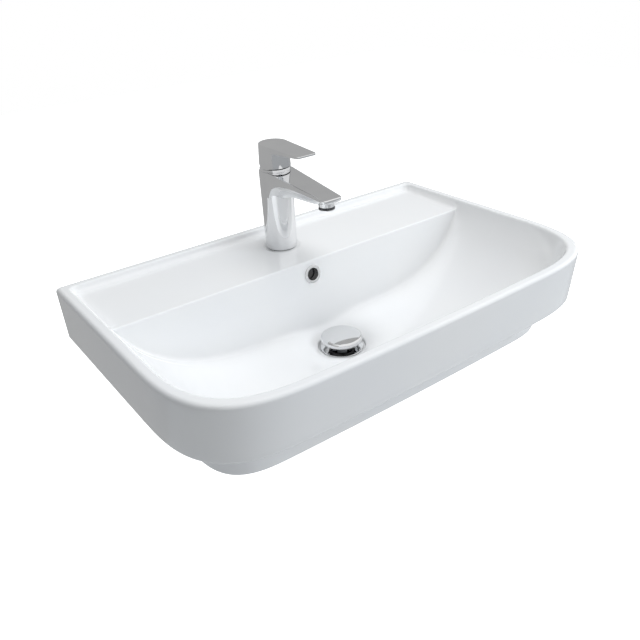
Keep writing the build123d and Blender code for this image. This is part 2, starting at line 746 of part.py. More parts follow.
def blade_outline(half_extra):
    """Plan of the blade: straight sides tapering to a tip with rounded corners."""
    root = HUB_TOP_R + half_extra
    tip = LEVER_TIP_HALF + half_extra
    end_y = TAP_Y - LEVER_REACH - half_extra
    lean = math.atan((root - tip) / LEVER_REACH)
    start_x = root * math.cos(lean)
    start_y = TAP_Y + root * math.sin(lean)
    points = [(-start_x, start_y), (-tip, end_y), (tip, end_y), (start_x, start_y)]
    plan = make_face(Polyline(*points, close=True))
    return fillet(plan.vertices().group_by(Axis.Y)[0], BLADE_TIP_ROUND)


def make_lever():
    """Hub and blade in one casting, hollow over the cartridge."""
    low = hub_low_z()
    high = lever_top_z(-HUB_R) + WALL
    taper = (HUB_R - HUB_TOP_R) / HUB_HEIGHT
    hub = cone(HUB_R, HUB_R - taper * (high - low), low, high, TAP_Y)
    blade = extrude(Pos(0, 0, low) * blade_outline(0.0), amount=high - low)
    tip_low = lever_top_z(LEVER_REACH) - BLADE_TIP
    root_low = lever_top_z(0) - BLADE_ROOT
    end_y = TAP_Y - LEVER_REACH - WALL
    under = root_low + (tip_low - root_low) * (LEVER_REACH + WALL) / LEVER_REACH
    profile = [(TAP_Y, root_low), (TAP_Y, high), (end_y, high), (end_y, under)]
    lever = hub + (blade & side_profile(profile, HALF))
    back_y = TAP_Y + 2 * HUB_R
    top = [(back_y, lever_top_z(-2 * HUB_R)), (back_y, high + 1), (end_y, high + 1)]
    top.append((end_y, lever_top_z(LEVER_REACH + WALL)))
    lever -= side_profile(top, HALF)
    crown = lever.faces().sort_by(Axis.Z)[-1].edges()
    lever = fillet(crown, BLADE_EDGE_ROUND)
    lever -= disc(HUB_R - HUB_WALL, low - 1, low + SKIRT_DEPTH, y=TAP_Y)
    lever -= disc(HUB_TOP_R - HUB_WALL, low, lever_roof_z(), y=TAP_Y) - socket_boss()
    lever -= heel_cut(low)
    half_x = SPINDLE_WIDTH / 2 + PRESS_GAP
    half_y = SPINDLE_DEPTH / 2 + PRESS_GAP
    lever -= block(-half_x, half_x, TAP_Y - half_y, TAP_Y + half_y, low, lever_roof_z())
    grub_z = lever_top_z(0) - GRUB_DROP
    lever -= rod((0, TAP_Y, grub_z), (0, TAP_Y + 2 * HUB_R, grub_z), GRUB_R + PRESS_GAP)
    return lever - rod((0, cap_inner_y(), grub_z), (0, TAP_Y + 2 * HUB_R, grub_z), CAP_R + PRESS_GAP)


def cap_inner_y():
    """Where the screw cap's inner end lies."""
    return TAP_Y + HUB_TOP_R - CAP_DEPTH


def socket_boss():
    """The boss in the hub that holds the spindle."""
    return disc(SOCKET_BOSS_R, hub_low_z() + SKIRT_DEPTH, lever_roof_z() + 1, y=TAP_Y)


def heel_cut(low):
    """Wedge cut off the hub's lower back edge, so that the lever can tip back."""
    rise = math.tan(math.radians(LEVER_LIFT))
    start = TAP_Y - LEVER_GAP * rise
    end = TAP_Y + 2 * HUB_R
    points = [(start, low), (end, low + (end - start) * rise), (end, low - WALL), (start, low - WALL)]
    return side_profile(points, HALF)


def make_grub_screw():
    """Headless screw from the lever's back to the spindle."""
    z = lever_top_z(0) - GRUB_DROP
    return rod((0, TAP_Y + SPINDLE_DEPTH / 2, z), (0, TAP_Y + SOCKET_BOSS_R, z), GRUB_R)


def make_screw_cap():
    """Small plug over the grub screw's hole."""
    z = lever_top_z(0) - GRUB_DROP
    cap = rod((0, cap_inner_y(), z), (0, TAP_Y + HUB_TOP_R, z), CAP_R)
    return fillet(cap.edges().sort_by(Axis.Y)[-1], BLADE_EDGE_ROUND / 2)


def make_aerator_housing():
    """Collar under the spout's tip, with coin slots round its rim."""
    low = TAP_Z + AERATOR_LOW
    y = TAP_Y - AERATOR_Y
    collar = ring(AERATOR_R, AERATOR_BORE_R, low, low + AERATOR_HEIGHT, y=y)
    for i in range(AERATOR_NOTCHES):
        turn = Pos(0, y, 0) * Rot(0, 0, 360 * i / AERATOR_NOTCHES) * Pos(0, -y, 0)
        half = NOTCH_WIDTH / 2
        outer = y - AERATOR_R
        notch = block(-half, half, outer - 1, outer + NOTCH_DEPTH, low + NOTCH_LOW, low + NOTCH_HIGH)
        collar -= turn * notch
    return collar


def make_aerator_insert():
    """Slotted face and screen inside the collar."""
    low = TAP_Z + AERATOR_LOW + 1
    y = TAP_Y - AERATOR_Y
    r = AERATOR_BORE_R - FIT_GAP
    insert = disc(r, low, TAP_Z + AERATOR_LOW + AERATOR_HEIGHT, y=y)
    pitch = 2 * r / AERATOR_FACE_SLOTS
    for i in range(AERATOR_FACE_SLOTS):
        x = -r + pitch * (i + 0.5)
        insert -= block(x - pitch / 4, x + pitch / 4, y - r, y + r, low - 1, low + 2)
    return insert


def make_aerator_washer():
    """Rubber ring between the aerator and its seat in the spout."""
    low = TAP_Z + AERATOR_LOW + AERATOR_HEIGHT
    return ring(AERATOR_R, CHANNEL_R, low, low + AERATOR_WASHER_HEIGHT, y=TAP_Y - AERATOR_Y)


def make_stud():
    """Threaded rod from the tap's foot down through the ledge."""
    y = TAP_Y - STUD_FRONT
    low = LEDGE_UNDER_Z - STUD_BELOW_LEDGE
    high = TAP_Z + HOLLOW_DEPTH + STUD_HOLE_DEPTH - 1
    return disc(STUD_R - PRESS_GAP, low, high, y=y)


def horseshoe(low, high):
    """Round plate with a slot open to the back for the hoses, and the stud's hole."""
    plate = disc(HORSESHOE_R, low, high, y=TAP_Y)
    half = HORSESHOE_SLOT / 2
    slot_y = TAP_Y - HORSESHOE_SLOT_EDGE
    plate -= block(-half, half, slot_y, TAP_Y + 2 * HORSESHOE_R, low - 1, high + 1)
    return plate - disc(STUD_R + FIT_GAP, low - 1, high + 1, y=TAP_Y - STUD_FRONT)


def make_horseshoe_seal():
    """Rubber horseshoe against the ceramic."""
    return horseshoe(LEDGE_UNDER_Z - HORSESHOE_SEAL_HEIGHT, LEDGE_UNDER_Z)


def make_horseshoe_washer():
    """Steel horseshoe under the rubber one."""
    top = LEDGE_UNDER_Z - HORSESHOE_SEAL_HEIGHT
    return horseshoe(top - HORSESHOE_WASHER_HEIGHT, top)


def make_fixing_nut():
    """Hexagon nut on the stud."""
    top = LEDGE_UNDER_Z - HORSESHOE_SEAL_HEIGHT - HORSESHOE_WASHER_HEIGHT
    low = top - FIXING_NUT_HEIGHT
    y = TAP_Y - STUD_FRONT
    nut = extrude(Pos(0, y, low) * RegularPolygon(FIXING_NUT_R, 6), amount=FIXING_NUT_HEIGHT)
    return nut - disc(STUD_R, low - 1, top + 1, y=y)


def make_waste_body():
    """Flange, throat and threaded tail, with overflow slots and cross bars for the barrel."""
    seat = WASTE_SEAT_Z + FLANGE_SEAL_HEIGHT
    low = seat - TAIL_LENGTH
    body = disc(FLANGE_R, seat, FLANGE_TOP_Z, y=WASTE_Y)
    rim = body.edges().filter_by(GeomType.CIRCLE).sort_by(Axis.Z)[-1]
    body = fillet(rim, FLANGE_HEIGHT * 0.6)
    body += disc(NECK_R, seat - NECK_DEPTH, seat, y=WASTE_Y)
    nut_foot = BOSS_Z - WASTE_SEAL_HEIGHT - WASTE_WASHER_HEIGHT - WASTE_NUT_HEIGHT
    thread_end = nut_foot - TAIL_END_GAP
    plain_end = thread_end - TAIL_R + TAIL_END_R
    body += disc(TAIL_R, thread_end, seat - NECK_DEPTH, y=WASTE_Y)
    body += cone(TAIL_END_R, TAIL_R, plain_end, thread_end, WASTE_Y)
    body += disc(TAIL_END_R, low, plain_end, y=WASTE_Y)
    throat = FLANGE_TOP_Z - THROAT_DEPTH
    body -= cone(THROAT_LOW_R, THROAT_R, throat, FLANGE_TOP_Z, WASTE_Y)
    body -= disc(TAIL_BORE_R, low - 1, throat + 1, y=WASTE_Y)
    duct = BOSS_Z + DUCT_FLOOR
    half = TAIL_SLOT_WIDTH / 2
    for turn in (0, 90):
        cut = block(-half, half, -2 * TAIL_R, 2 * TAIL_R, duct, duct + DUCT_GAP - 1)
        body -= Pos(0, WASTE_Y, 0) * Rot(0, 0, turn) * cut
    spokes = disc(BARREL_R + SPOKE_WIDTH, spoke_z(), spoke_z() + SPOKE_DEPTH, y=WASTE_Y)
    half = SPOKE_WIDTH / 2
    reach = TAIL_BORE_R + 1
    for turn in (45, 135):
        bar = block(-half, half, -reach, reach, spoke_z(), spoke_z() + SPOKE_DEPTH)
        spokes += Pos(0, WASTE_Y, 0) * Rot(0, 0, turn) * bar
    body += spokes
    return body - disc(BARREL_R + PRESS_GAP, low, FLANGE_TOP_Z, y=WASTE_Y)


def spoke_z():
    """Height of the cross bars' underside."""
    return FLANGE_TOP_Z - SPOKE_DROP - SPOKE_DEPTH


def make_flange_seal():
    """Soft ring between flange and ceramic."""
    top = WASTE_SEAT_Z + FLANGE_SEAL_HEIGHT
    return ring(FLANGE_R - 1, WASTE_HOLE_R, WASTE_SEAT_Z, top, y=WASTE_Y)


def make_bottom_seal():
    """Rubber ring under the basin's boss."""
    return ring(WASTE_WASHER_R, TAIL_R + FIT_GAP, BOSS_Z - WASTE_SEAL_HEIGHT, BOSS_Z, y=WASTE_Y)


def make_waste_washer():
    """Plain washer under the rubber ring."""
    top = BOSS_Z - WASTE_SEAL_HEIGHT
    return ring(WASTE_WASHER_R, TAIL_R + FIT_GAP, top - WASTE_WASHER_HEIGHT, top, y=WASTE_Y)


def make_waste_nut():
    """Ring nut with six grip lugs on the tail."""
    top = BOSS_Z - WASTE_SEAL_HEIGHT - WASTE_WASHER_HEIGHT
    low = top - WASTE_NUT_HEIGHT
    nut = disc(WASTE_NUT_R - 3, low, top, y=WASTE_Y)
    half = SPOKE_WIDTH
    for i in range(3):
        lug = block(-half, half, -WASTE_NUT_R, WASTE_NUT_R, low, top)
        nut += Pos(0, WASTE_Y, 0) * Rot(0, 0, 60 * i) * lug
    return nut - disc(TAIL_R + PRESS_GAP, low - 1, top + 1, y=WASTE_Y)


def cap_lip_z():
    """Height of the cap's lower lip, standing open."""
    return FLANGE_TOP_Z + CAP_LIP_GAP + PLUG_TRAVEL


def make_plug_cap():
    """Mushroom cap: low dome and full rounded edge, with a middle boss for the stem."""
    lip = cap_lip_z()
    edge = lip + CAP_EDGE_HEIGHT
    lip_r = CAP_OUTER_R - CAP_LIP_INSET
    widest = (CAP_OUTER_R, lip + CAP_WIDEST)
    outline = [Line((0, lip), (lip_r, lip))]
    outline.append(ThreePointArc((lip_r, lip), widest, (lip_r, edge)))
    ball = (lip_r**2 + CAP_DOME**2) / (2 * CAP_DOME)
    half_way = lip_r / 2
    shoulder = edge + CAP_DOME - ball + math.sqrt(ball**2 - half_way**2)
    outline.append(ThreePointArc((lip_r, edge), (half_way, shoulder), (0, edge + CAP_DOME)))
    outline.append(Line((0, edge + CAP_DOME), (0, lip)))
    half = make_face(Wire(outline))
    dome = Pos(0, WASTE_Y, 0) * revolve(Plane.XZ * half, Axis.Z)
    inner = lip_r - CAP_SHELL
    dome -= ring(inner, PLUG_SEAL_R, lip - 1, edge - CAP_SHELL, y=WASTE_Y)
    return dome - disc(STEM_R, lip - 1, edge - CAP_SHELL, y=WASTE_Y)


def make_plug_seal():
    """Black rubber ring under the cap's middle."""
    top = cap_lip_z()
    return ring(PLUG_SEAL_R, PLUG_SEAL_BORE_R, top - PLUG_SEAL_HEIGHT, top, y=WASTE_Y)


def stem_low_z():
    """Height of the stem's lower end, standing open."""
    return cap_lip_z() + CAP_EDGE_HEIGHT - CAP_SHELL - STEM_LENGTH


def make_plug_stem():
    """Stem under the cap, sliding in the barrel, with a cross hole for the catch."""
    stem = disc(STEM_R - PRESS_GAP, stem_low_z(), stem_low_z() + STEM_LENGTH, y=WASTE_Y)
    return stem - latch_rod(LATCH_R + PRESS_GAP)


def latch_rod(r):
    """Bar across the stem where the catch goes."""
    z = stem_low_z() + LATCH_HEIGHT
    return rod((-LATCH_REACH, WASTE_Y, z), (LATCH_REACH, WASTE_Y, z), r)


def make_latch_pin():
    """Cross pin in the stem that runs in the barrel's slot."""
    return latch_rod(LATCH_R)


def barrel_low_z():
    """Height of the barrel's foot."""
    return spoke_z() - BARREL_BELOW_SPOKES


def make_barrel():
    """Barrel of the push mechanism, closed at its foot, slotted for the catch."""
    low = barrel_low_z()
    top = spoke_z() + SPOKE_DEPTH + BARREL_ABOVE_SPOKES
    barrel = disc(BARREL_R, low, top, y=WASTE_Y)
    barrel -= disc(BARREL_BORE_R, low + BARREL_FLOOR, top + 1, y=WASTE_Y)
    half = LATCH_R + RUN_GAP
    z = stem_low_z() + LATCH_HEIGHT
    reach = BARREL_R + 1
    y0 = WASTE_Y - half
    y1 = WASTE_Y + half
    return barrel - block(-reach, reach, y0, y1, z - PLUG_TRAVEL - half - RUN_GAP, z + half)


def make_spring():
    """Coil spring between the barrel's floor and the stem."""
    low = barrel_low_z() + BARREL_FLOOR + SPRING_WIRE_R + PRESS_GAP
    top = stem_low_z() - SPRING_WIRE_R - PRESS_GAP
    height = top - low
    path = Pos(0, WASTE_Y, low) * Helix(height / SPRING_TURNS, height, SPRING_R)
    start = path @ 0
    section = Plane(origin=start, z_dir=path % 0) * Circle(SPRING_WIRE_R)
    return sweep(section, path=path)


NODES = {
    "basin": make_basin,
    "overflow_ring": make_overflow_ring,
    "tap_body": make_tap_body,
    "tap_base_seal": make_base_seal,
    "cartridge_housing": make_housing,
    "cartridge_base_seals": make_port_seals,
    "fixed_ceramic_disc": make_fixed_disc,
    "moving_ceramic_disc": make_moving_disc,
    "disc_driver": make_driver,
    "cartridge_carrier": make_carrier,
    "spindle_pin": make_pin,
    "lever_spindle": make_spindle,
    "cartridge_nut": make_nut,
    "cover_ring": make_cover_ring,
    "lever": make_lever,
    "lever_grub_screw": make_grub_screw,
    "lever_screw_cap": make_screw_cap,
    "aerator_housing": make_aerator_housing,
    "aerator_insert": make_aerator_insert,
    "aerator_washer": make_aerator_washer,
    "fixing_stud": make_stud,
    "horseshoe_seal": make_horseshoe_seal,
    "horseshoe_washer": make_horseshoe_washer,
    "fixing_nut": make_fixing_nut,
    "waste_body": make_waste_body,
    "waste_top_seal": make_flange_seal,
    "waste_bottom_seal": make_bottom_seal,
    "waste_washer": make_waste_washer,
    "waste_nut": make_waste_nut,
    "plug_cap": make_plug_cap,
    "plug_seal": make_plug_seal,
    "plug_stem": make_plug_stem,
    "latch_pin": make_latch_pin,
    "click_barrel": make_barrel,
    "plug_spring": make_spring,
}


def main():
    os.makedirs("parts", exist_ok=True)
    for name, make in NODES.items():
        export_step(make(), f"parts/{name}.step")


main()
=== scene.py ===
import json
import math

import bmesh
import bpy
import numpy as np
from mathutils import Matrix, Vector


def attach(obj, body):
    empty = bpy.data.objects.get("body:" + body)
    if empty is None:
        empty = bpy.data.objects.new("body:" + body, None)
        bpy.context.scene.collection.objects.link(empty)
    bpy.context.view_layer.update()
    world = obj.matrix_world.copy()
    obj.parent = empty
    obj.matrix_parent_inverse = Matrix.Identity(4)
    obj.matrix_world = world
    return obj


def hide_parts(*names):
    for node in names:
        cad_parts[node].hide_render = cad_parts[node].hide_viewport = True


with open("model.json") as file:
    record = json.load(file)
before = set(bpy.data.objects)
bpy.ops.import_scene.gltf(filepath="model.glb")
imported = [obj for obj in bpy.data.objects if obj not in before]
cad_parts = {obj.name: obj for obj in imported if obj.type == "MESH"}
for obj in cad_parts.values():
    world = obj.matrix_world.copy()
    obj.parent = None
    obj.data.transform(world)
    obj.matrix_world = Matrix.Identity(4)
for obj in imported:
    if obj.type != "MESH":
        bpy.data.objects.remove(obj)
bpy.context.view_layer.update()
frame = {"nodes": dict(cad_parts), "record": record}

# Lengths are in millimetres until a mesh is made. Basin heights are measured from the rim,
# which lies RIM_Z above the wall bolts.
MM = 0.001
RIM_Z = 95.0

# Basin
HALF = 350.0
DEPTH = 445.0
BOW = 6.5
CORNER = 184.0
CORNER_POWER = 3.5
RIM_WIDTH = 15.5
BACK_ROUND = 6.0
LEDGE_CORNER = 12.0
APRON = 85.0
TIER_FOOT = 145.0
SIDE_DRAFT = 1.6
FRONT_DRAFT = 10.9
BOWL_DROP = 117.0
SIDE_POWER = 4.0
SIDE_SOFTNESS = 0.8
DISH_DEPTH = 36.0
DISH_RADIUS = 44.7
FRONT_WALL = 140.0
FRONT_POWER = 2.2
BLEND = 40.0
CREASE_Y = -155.0
CREASE_DROP = 14.0
LEDGE_FALL = 4.0 / 139.5
LEDGE_BLEND = 10.0
PANEL_LEAN = math.radians(9.1)
WALL = 12.0
UNDER_LEDGE = -26.89
EDGE_IN = 1.0
EDGE_OUT = 2.6
CREASE_SOFT = 2.4
FOOT_SOFT = 8.0

TIER_HALF = 303.0
TIER_DEPTH = 387.0
TIER_CORNER = 104.5
BACK_WALL = 14.0
BOLT_X = 140.0
BOLT_HOLE_R = 7.0
DUCT_TOP = -24.0
DUCT_LOW = -146.0
DUCT_HALF = 22.0
DUCT_THICK = 9.5

# Tap and waste places
TAP_Y = -75.0
TAP_HOLE_R = 17.5
TAP_SEAT = -12.89
WASTE_Y = -227.0
WASTE_SEAT = -140.5
BOSS_FOOT = -163.0
OVERFLOW_DROP = 36.3
OVERFLOW_ROW = 11
OVERFLOW_R = 12.0
OVERFLOW_DEEP = 11.0
SEAT_R = 31.5
RECESS_R = 37.0
BOSS_R = 47.0


def faces_of(rows, cols, wraps, start):
    """Quads between neighbouring rows and columns of a grid whose first point has number start."""
    i = np.arange(rows - 1)[:, None] * cols
    j = np.arange(cols if wraps else cols - 1)[None]
    k = (j + 1) % cols
    return (np.stack([i + j, i + k, i + k + cols, i + j + cols], -1) + start).reshape(-1, 4)


def make_mesh(name, grids, sharp=None):
    """One closed mesh from grids of points in millimetres. Each comes with whether it wraps round.
    Edges bent by more than sharp degrees stay sharp."""
    points, faces, start = [], [], 0
    for grid, wraps in grids:
        rows, cols = grid.shape[:2]
        points.append(grid.reshape(-1, 3))
        faces.append(faces_of(rows, cols, wraps, start))
        start += rows * cols
    points = np.concatenate(points) * MM
    mesh = bpy.data.meshes.new(name)
    mesh.from_pydata(points.tolist(), [], np.concatenate(faces).tolist())
    shell = bmesh.new()
    shell.from_mesh(mesh)
    bmesh.ops.remove_doubles(shell, verts=shell.verts, dist=3e-6)
    bmesh.ops.recalc_face_normals(shell, faces=shell.faces)
    shell.to_mesh(mesh)
    shell.free()
    mesh.shade_smooth()
    if sharp:
        mesh.set_sharp_from_angle(angle=math.radians(sharp))
    piece = bpy.data.objects.new(name, mesh)
    bpy.context.scene.collection.objects.link(piece)
    return piece


def bored(piece, grids):
    """The piece with round holes cut through it, where the closed grids of points lie."""
    cutter = make_mesh("hole_cutter", grids)
    step = piece.modifiers.new("holes", "BOOLEAN")
    step.operation = "DIFFERENCE"
    step.solver = "EXACT"
    step.object = cutter
    state = bpy.context.evaluated_depsgraph_get()
    mesh = bpy.data.meshes.new_from_object(piece.evaluated_get(state))
    piece.modifiers.clear()
    piece.data = mesh
    bpy.data.objects.remove(cutter)
    mesh.shade_smooth()
    mesh.set_sharp_from_angle(angle=math.radians(60))


def place(piece, material, body, slot, *nodes):
    """Gives a piece its material and its body, and hides the nodes that it stands for. slot is not used."""
    piece.data.materials.append(material)
    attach(piece, body)
    if nodes:
        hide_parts(*nodes)


def resample(line, count):
    """Points evenly spaced along a line of points."""
    run = np.r_[0, np.cumsum(np.hypot(*np.diff(line, axis=0).T))]
    at = np.linspace(0, run[-1], count)
    return np.stack([np.interp(at, run, line[:, k]) for k in range(line.shape[1])], -1)


def unit_corner(count):
    """A quarter of the curve a^p + b^p = 1 from (1, 0) to (0, 1), evenly spaced along its length."""
    turn = np.linspace(0, np.pi / 2, 4001)
    fine = np.clip(np.stack([np.cos(turn), np.sin(turn)], -1), 0, 1) ** (2 / CORNER_POWER)
    return resample(fine, count)


UNDER_PLAN = (TIER_HALF - WALL, TIER_DEPTH - WALL, TIER_CORNER - WALL, -BACK_WALL, BACK_ROUND)
CORNER_LINE = unit_corner(44)
BACK_SHARE = np.linspace(0, 1, 44)
BACK_TURN = np.linspace(0, np.pi / 2, 9)[1:]
FRONT_SHARE = np.linspace(0, 1, 30)


def half_outline(half, depth, corner, back_y, back_round, side_share):
    """Right half of the plan loop, from the middle of the back to the middle of the front: a straight
    back, a quarter circle, a straight side, a soft corner and a front bowed by BOW."""
    flat = half - back_round
    back = np.stack([flat * BACK_SHARE, np.full_like(BACK_SHARE, back_y)], -1)
    arc_x = flat + back_round * np.sin(BACK_TURN)
    arc = np.stack([arc_x, back_y - back_round * (1 - np.cos(BACK_TURN))], -1)
    start = back_y - back_round
    end = -(depth - corner)
    side = np.stack([np.full_like(side_share, half), start + (end - start) * side_share], -1)
    bend = np.stack([half - corner + corner * CORNER_LINE[:, 0], end - corner * CORNER_LINE[:, 1]], -1)
    straight = (half - corner) * (1 - FRONT_SHARE)
    front = np.stack([straight, np.full_like(straight, end - corner)], -1)
    bowed = np.concatenate([bend[1:], front[1:]])
    bowed[:, 1] -= BOW * (1 - (bowed[:, 0] / HALF) ** 2)
    return np.concatenate([back, arc, side[1:], bowed])


def mirrored(right):
    """A closed loop from its right half, which starts and ends in the middle plane."""
    left = right[..., -2:0:-1, :] * ((-1, 1, 1) if right.shape[-1] == 3 else (-1, 1))
    return np.concatenate([right, left], -2)


def smooth_max(a, b, width):
    """The larger of two heights below the rim, rounded where they cross; the round fades at the rim."""
    top = np.maximum(a, b)
    reach = np.clip(-top, 1e-9, width)
    mix = np.clip((reach - np.abs(a - b)) / reach, 0, None)
    return top + mix * mix * reach / 4


def bowl_height(x, y, wall=0.0):
    """Trough with sides of the fourth power, a round dish at the waste and a front wall that follows
    the front outline, joined by smooth_max. wall moves the surface down and outwards."""
    half = HALF - RIM_WIDTH + wall
    drop = BOWL_DROP + wall
    rise = 1 - (np.abs(x) / half) ** SIDE_POWER
    trough = -drop * np.sign(rise) * np.abs(rise) ** SIDE_SOFTNESS
    trough = trough - DISH_DEPTH * np.exp(-(x**2 + (y - WASTE_Y) ** 2) / DISH_RADIUS**2)
    corner = CORNER - RIM_WIDTH + wall
    depth = DEPTH - RIM_WIDTH + wall
    bowed = y + BOW * (1 - (x / HALF) ** 2)
    past_x = np.clip(np.abs(x) - (half - corner), 0, None)
    past_y = np.clip(-bowed - (depth - corner), 0, None)
    inward = corner - (past_x**CORNER_POWER + past_y**CORNER_POWER) ** (1 / CORNER_POWER)
    foot = drop + DISH_DEPTH + BLEND
    left = np.clip(1 - inward / FRONT_WALL, 0, None)
    front = -foot * (1 - left**FRONT_POWER)
    return smooth_max(trough, front, BLEND)


def side_wall(inward):
    """Height of the bowl's side wall at a distance in from the rim's inner edge."""
    rise = 1 - np.clip(1 - inward / (HALF - RIM_WIDTH), 0, 1) ** SIDE_POWER
    return -BOWL_DROP * rise**SIDE_SOFTNESS


def ledge_height(x, y, wall=0.0):
    """Tap ledge: a gently falling plane that turns up into the rim at the back and sides, with a flat
    round seat for the tap. Under it, at wall thickness, a plain ceiling."""
    if wall:
        return np.full(np.broadcast(x, y).shape, UNDER_LEDGE)
    flat_x = HALF - RIM_WIDTH - LEDGE_CORNER
    flat_y = -RIM_WIDTH - LEDGE_CORNER
    past_x = np.clip(np.abs(x) - flat_x, 0, None)
    past_y = np.clip(y - flat_y, 0, None)
    deep = np.minimum(flat_x - np.abs(x), flat_y - y)
    inward = LEDGE_CORNER - np.hypot(past_x, past_y) + np.clip(deep, 0, None)
    plane = -CREASE_DROP + LEDGE_FALL * (y - CREASE_Y)
    height = smooth_max(plane, side_wall(inward), LEDGE_BLEND)
    near = np.clip((SEAT_R - np.hypot(x, y - TAP_Y)) / 4, 0, 1)
    near = near * near * (3 - 2 * near)
    return height + (TAP_SEAT - height) * near


def whole_length(line, sums, at):
    """The integral of a broken line's coordinates up to given distances along it, exactly."""
    run, value, total = line[0], line[1], sums
    i = np.clip((run[:, None] <= at[None]).sum(0) - 1, 0, len(run) - 2)
    start = np.take_along_axis(run, i, 0)
    step = np.take_along_axis(run, i + 1, 0) - start
    low = np.take_along_axis(value, i, 0)
    high = np.take_along_axis(value, i + 1, 0)
    t = at - start
    return np.take_along_axis(total, i, 0) + low * t + (high - low) * t * t / np.maximum(2 * step, 1e-9)


def softened(y, z, run, at, reach):
    """A broken line rounded by averaging it over a stretch of half-length reach round each place."""
    result = []
    for value in (y, z):
        parts = (value[1:] + value[:-1]) / 2 * np.diff(run, axis=0)
        sums = np.concatenate([np.zeros((1, run.shape[1])), np.cumsum(parts, 0)])
        ahead = whole_length((run, value), sums, at + reach)
        behind = whole_length((run, value), sums, at - reach)
        result.append((ahead - behind) / (2 * reach))
    return result


def panel_rows(length):
    """Distances down the panel from the crease at which the strip has its rows, for each column."""
    ease = length / (length + 12)
    behind = [-6, -4.4, -3.2, -2.2, -1.4, -0.7, 0]
    rows = [np.full_like(length, v) for v in behind]
    rows += [v * ease for v in (0.7, 1.4, 2.2, 3.2)]
    top, foot = 3.2 * ease, length - 8 * ease
    centre = (OVERFLOW_DROP - CREASE_DROP) / math.cos(PANEL_LEAN)
    middle = length[0] - 11.2 * ease[0]
    below = np.linspace(centre + 16, length[0] - 8 * ease[0], 11)[1:-1]
    marks = np.r_[centre + np.linspace(-16, 16, 9), below]
    rows += [top + (foot - top) * (m - 3.2 * ease[0]) / middle for m in marks]
    rows += [length + v * ease for v in (-8, -6.7, -5.4, -4.1, -2.8, -1.5, -0.2)]
    count = len(rows)
    rows += [length + v for v in (1.1, 2.4, 3.7, 5.0, 6.4, 8, 10, 12, 14)]
    spread = 0.25 * np.clip(np.arange(len(rows)) - len(behind) + 1, 0, count - len(behind) + 1)
    return np.array(rows) + spread[:, None] * (1 - ease)


def panel_strip(xs, wall=0.0):
    """Ledge front, crease, leaning panel and bowl floor for columns of constant x. The ledge, the
    panel's plane and the bowl meet at sharp corners that softened() rounds."""
    slope = math.tan(PANEL_LEAN)

    def plane_y(z):
        return CREASE_Y + wall / math.cos(PANEL_LEAN) + (z + CREASE_DROP) * slope

    top = np.full_like(xs, -CREASE_DROP)
    foot = np.full_like(xs, -BOWL_DROP)
    for _ in range(20):
        top = ledge_height(xs, plane_y(top), wall)
        foot = np.minimum(bowl_height(xs, plane_y(foot), wall), top)
    share = np.linspace(0, 1, 81)[:, None]
    ledge_y = plane_y(top) + 16 * (1 - share)
    panel_z = top + (foot - top) * share[1:]
    floor_y = plane_y(foot) - 46 * share[1:]
    y = np.concatenate([ledge_y, plane_y(panel_z), floor_y])
    z = np.concatenate([ledge_height(xs, ledge_y, wall), panel_z, bowl_height(xs, floor_y, wall)])
    steps = np.hypot(np.diff(y, axis=0), np.diff(z, axis=0))
    run = np.concatenate([np.zeros((1, len(xs))), np.cumsum(steps, 0)])
    run = run - run[80]
    length = run[160]
    at = panel_rows(length)
    last = length + 14 + 0.25 * 32 * 12 / (length + 12)
    share = np.clip(at / np.maximum(length, 1e-6), 0, 1)
    foot_soft = CREASE_SOFT + (FOOT_SOFT - CREASE_SOFT) * length / (length + 10)
    reach = CREASE_SOFT + (foot_soft - CREASE_SOFT) * share * share * (3 - 2 * share)
    reach = reach * np.clip((at + 6) / 3, 0.02, 1) * np.clip((last - at) / 6, 0.01, 1)
    y, z = softened(y, z, run, at, reach)
    return np.stack([np.broadcast_to(xs, y.shape), y, z], -1)


def circle_towards(loop, centre_y, r):
    """Points of a circle round (0, centre_y), one in the direction of each point of a loop."""
    way = loop[:, :2] - (0, centre_y)
    return way / np.hypot(*way.T)[:, None] * r + (0, centre_y)


def between(loop, inner, shares, height):
    """Loops from an outer loop to an inner one, at shares of the way, with heights from a function."""
    plan = loop[None, :, :2] + (inner - loop[:, :2])[None] * shares[:, None, None]
    z = height(plan[..., 0], plan[..., 1])
    z[0] = loop[:, 2]
    return np.concatenate([plan, z[..., None]], -1)


def wall_shares(count, start):
    """Shares from 0 to 1 that are close together at both ends."""
    t = np.linspace(0, 1, count)
    return start * t + (1 - start) * t * t * (3 - 2 * t)


def turned(directions, centre_y, radii, heights):
    """Surface of revolution round (0, centre_y): one row for each radius, with heights for each point."""
    rows = []
    for r, z in zip(radii, heights):
        plan = directions * r + (0, centre_y)
        heights_here = np.broadcast_to(np.asarray(z, float), plan.shape[:1])
        rows.append(np.concatenate([plan, heights_here[:, None]], -1))
    return np.array(rows)


X_SHARE = np.r_[np.arange(0, 60, 4), np.linspace(60, 300, 34), 333.5 - 33.5 * 0.86 ** np.arange(2, 24)]
X_SHARE = np.r_[X_SHARE[X_SHARE < 333.0], 333.5] / 333.5


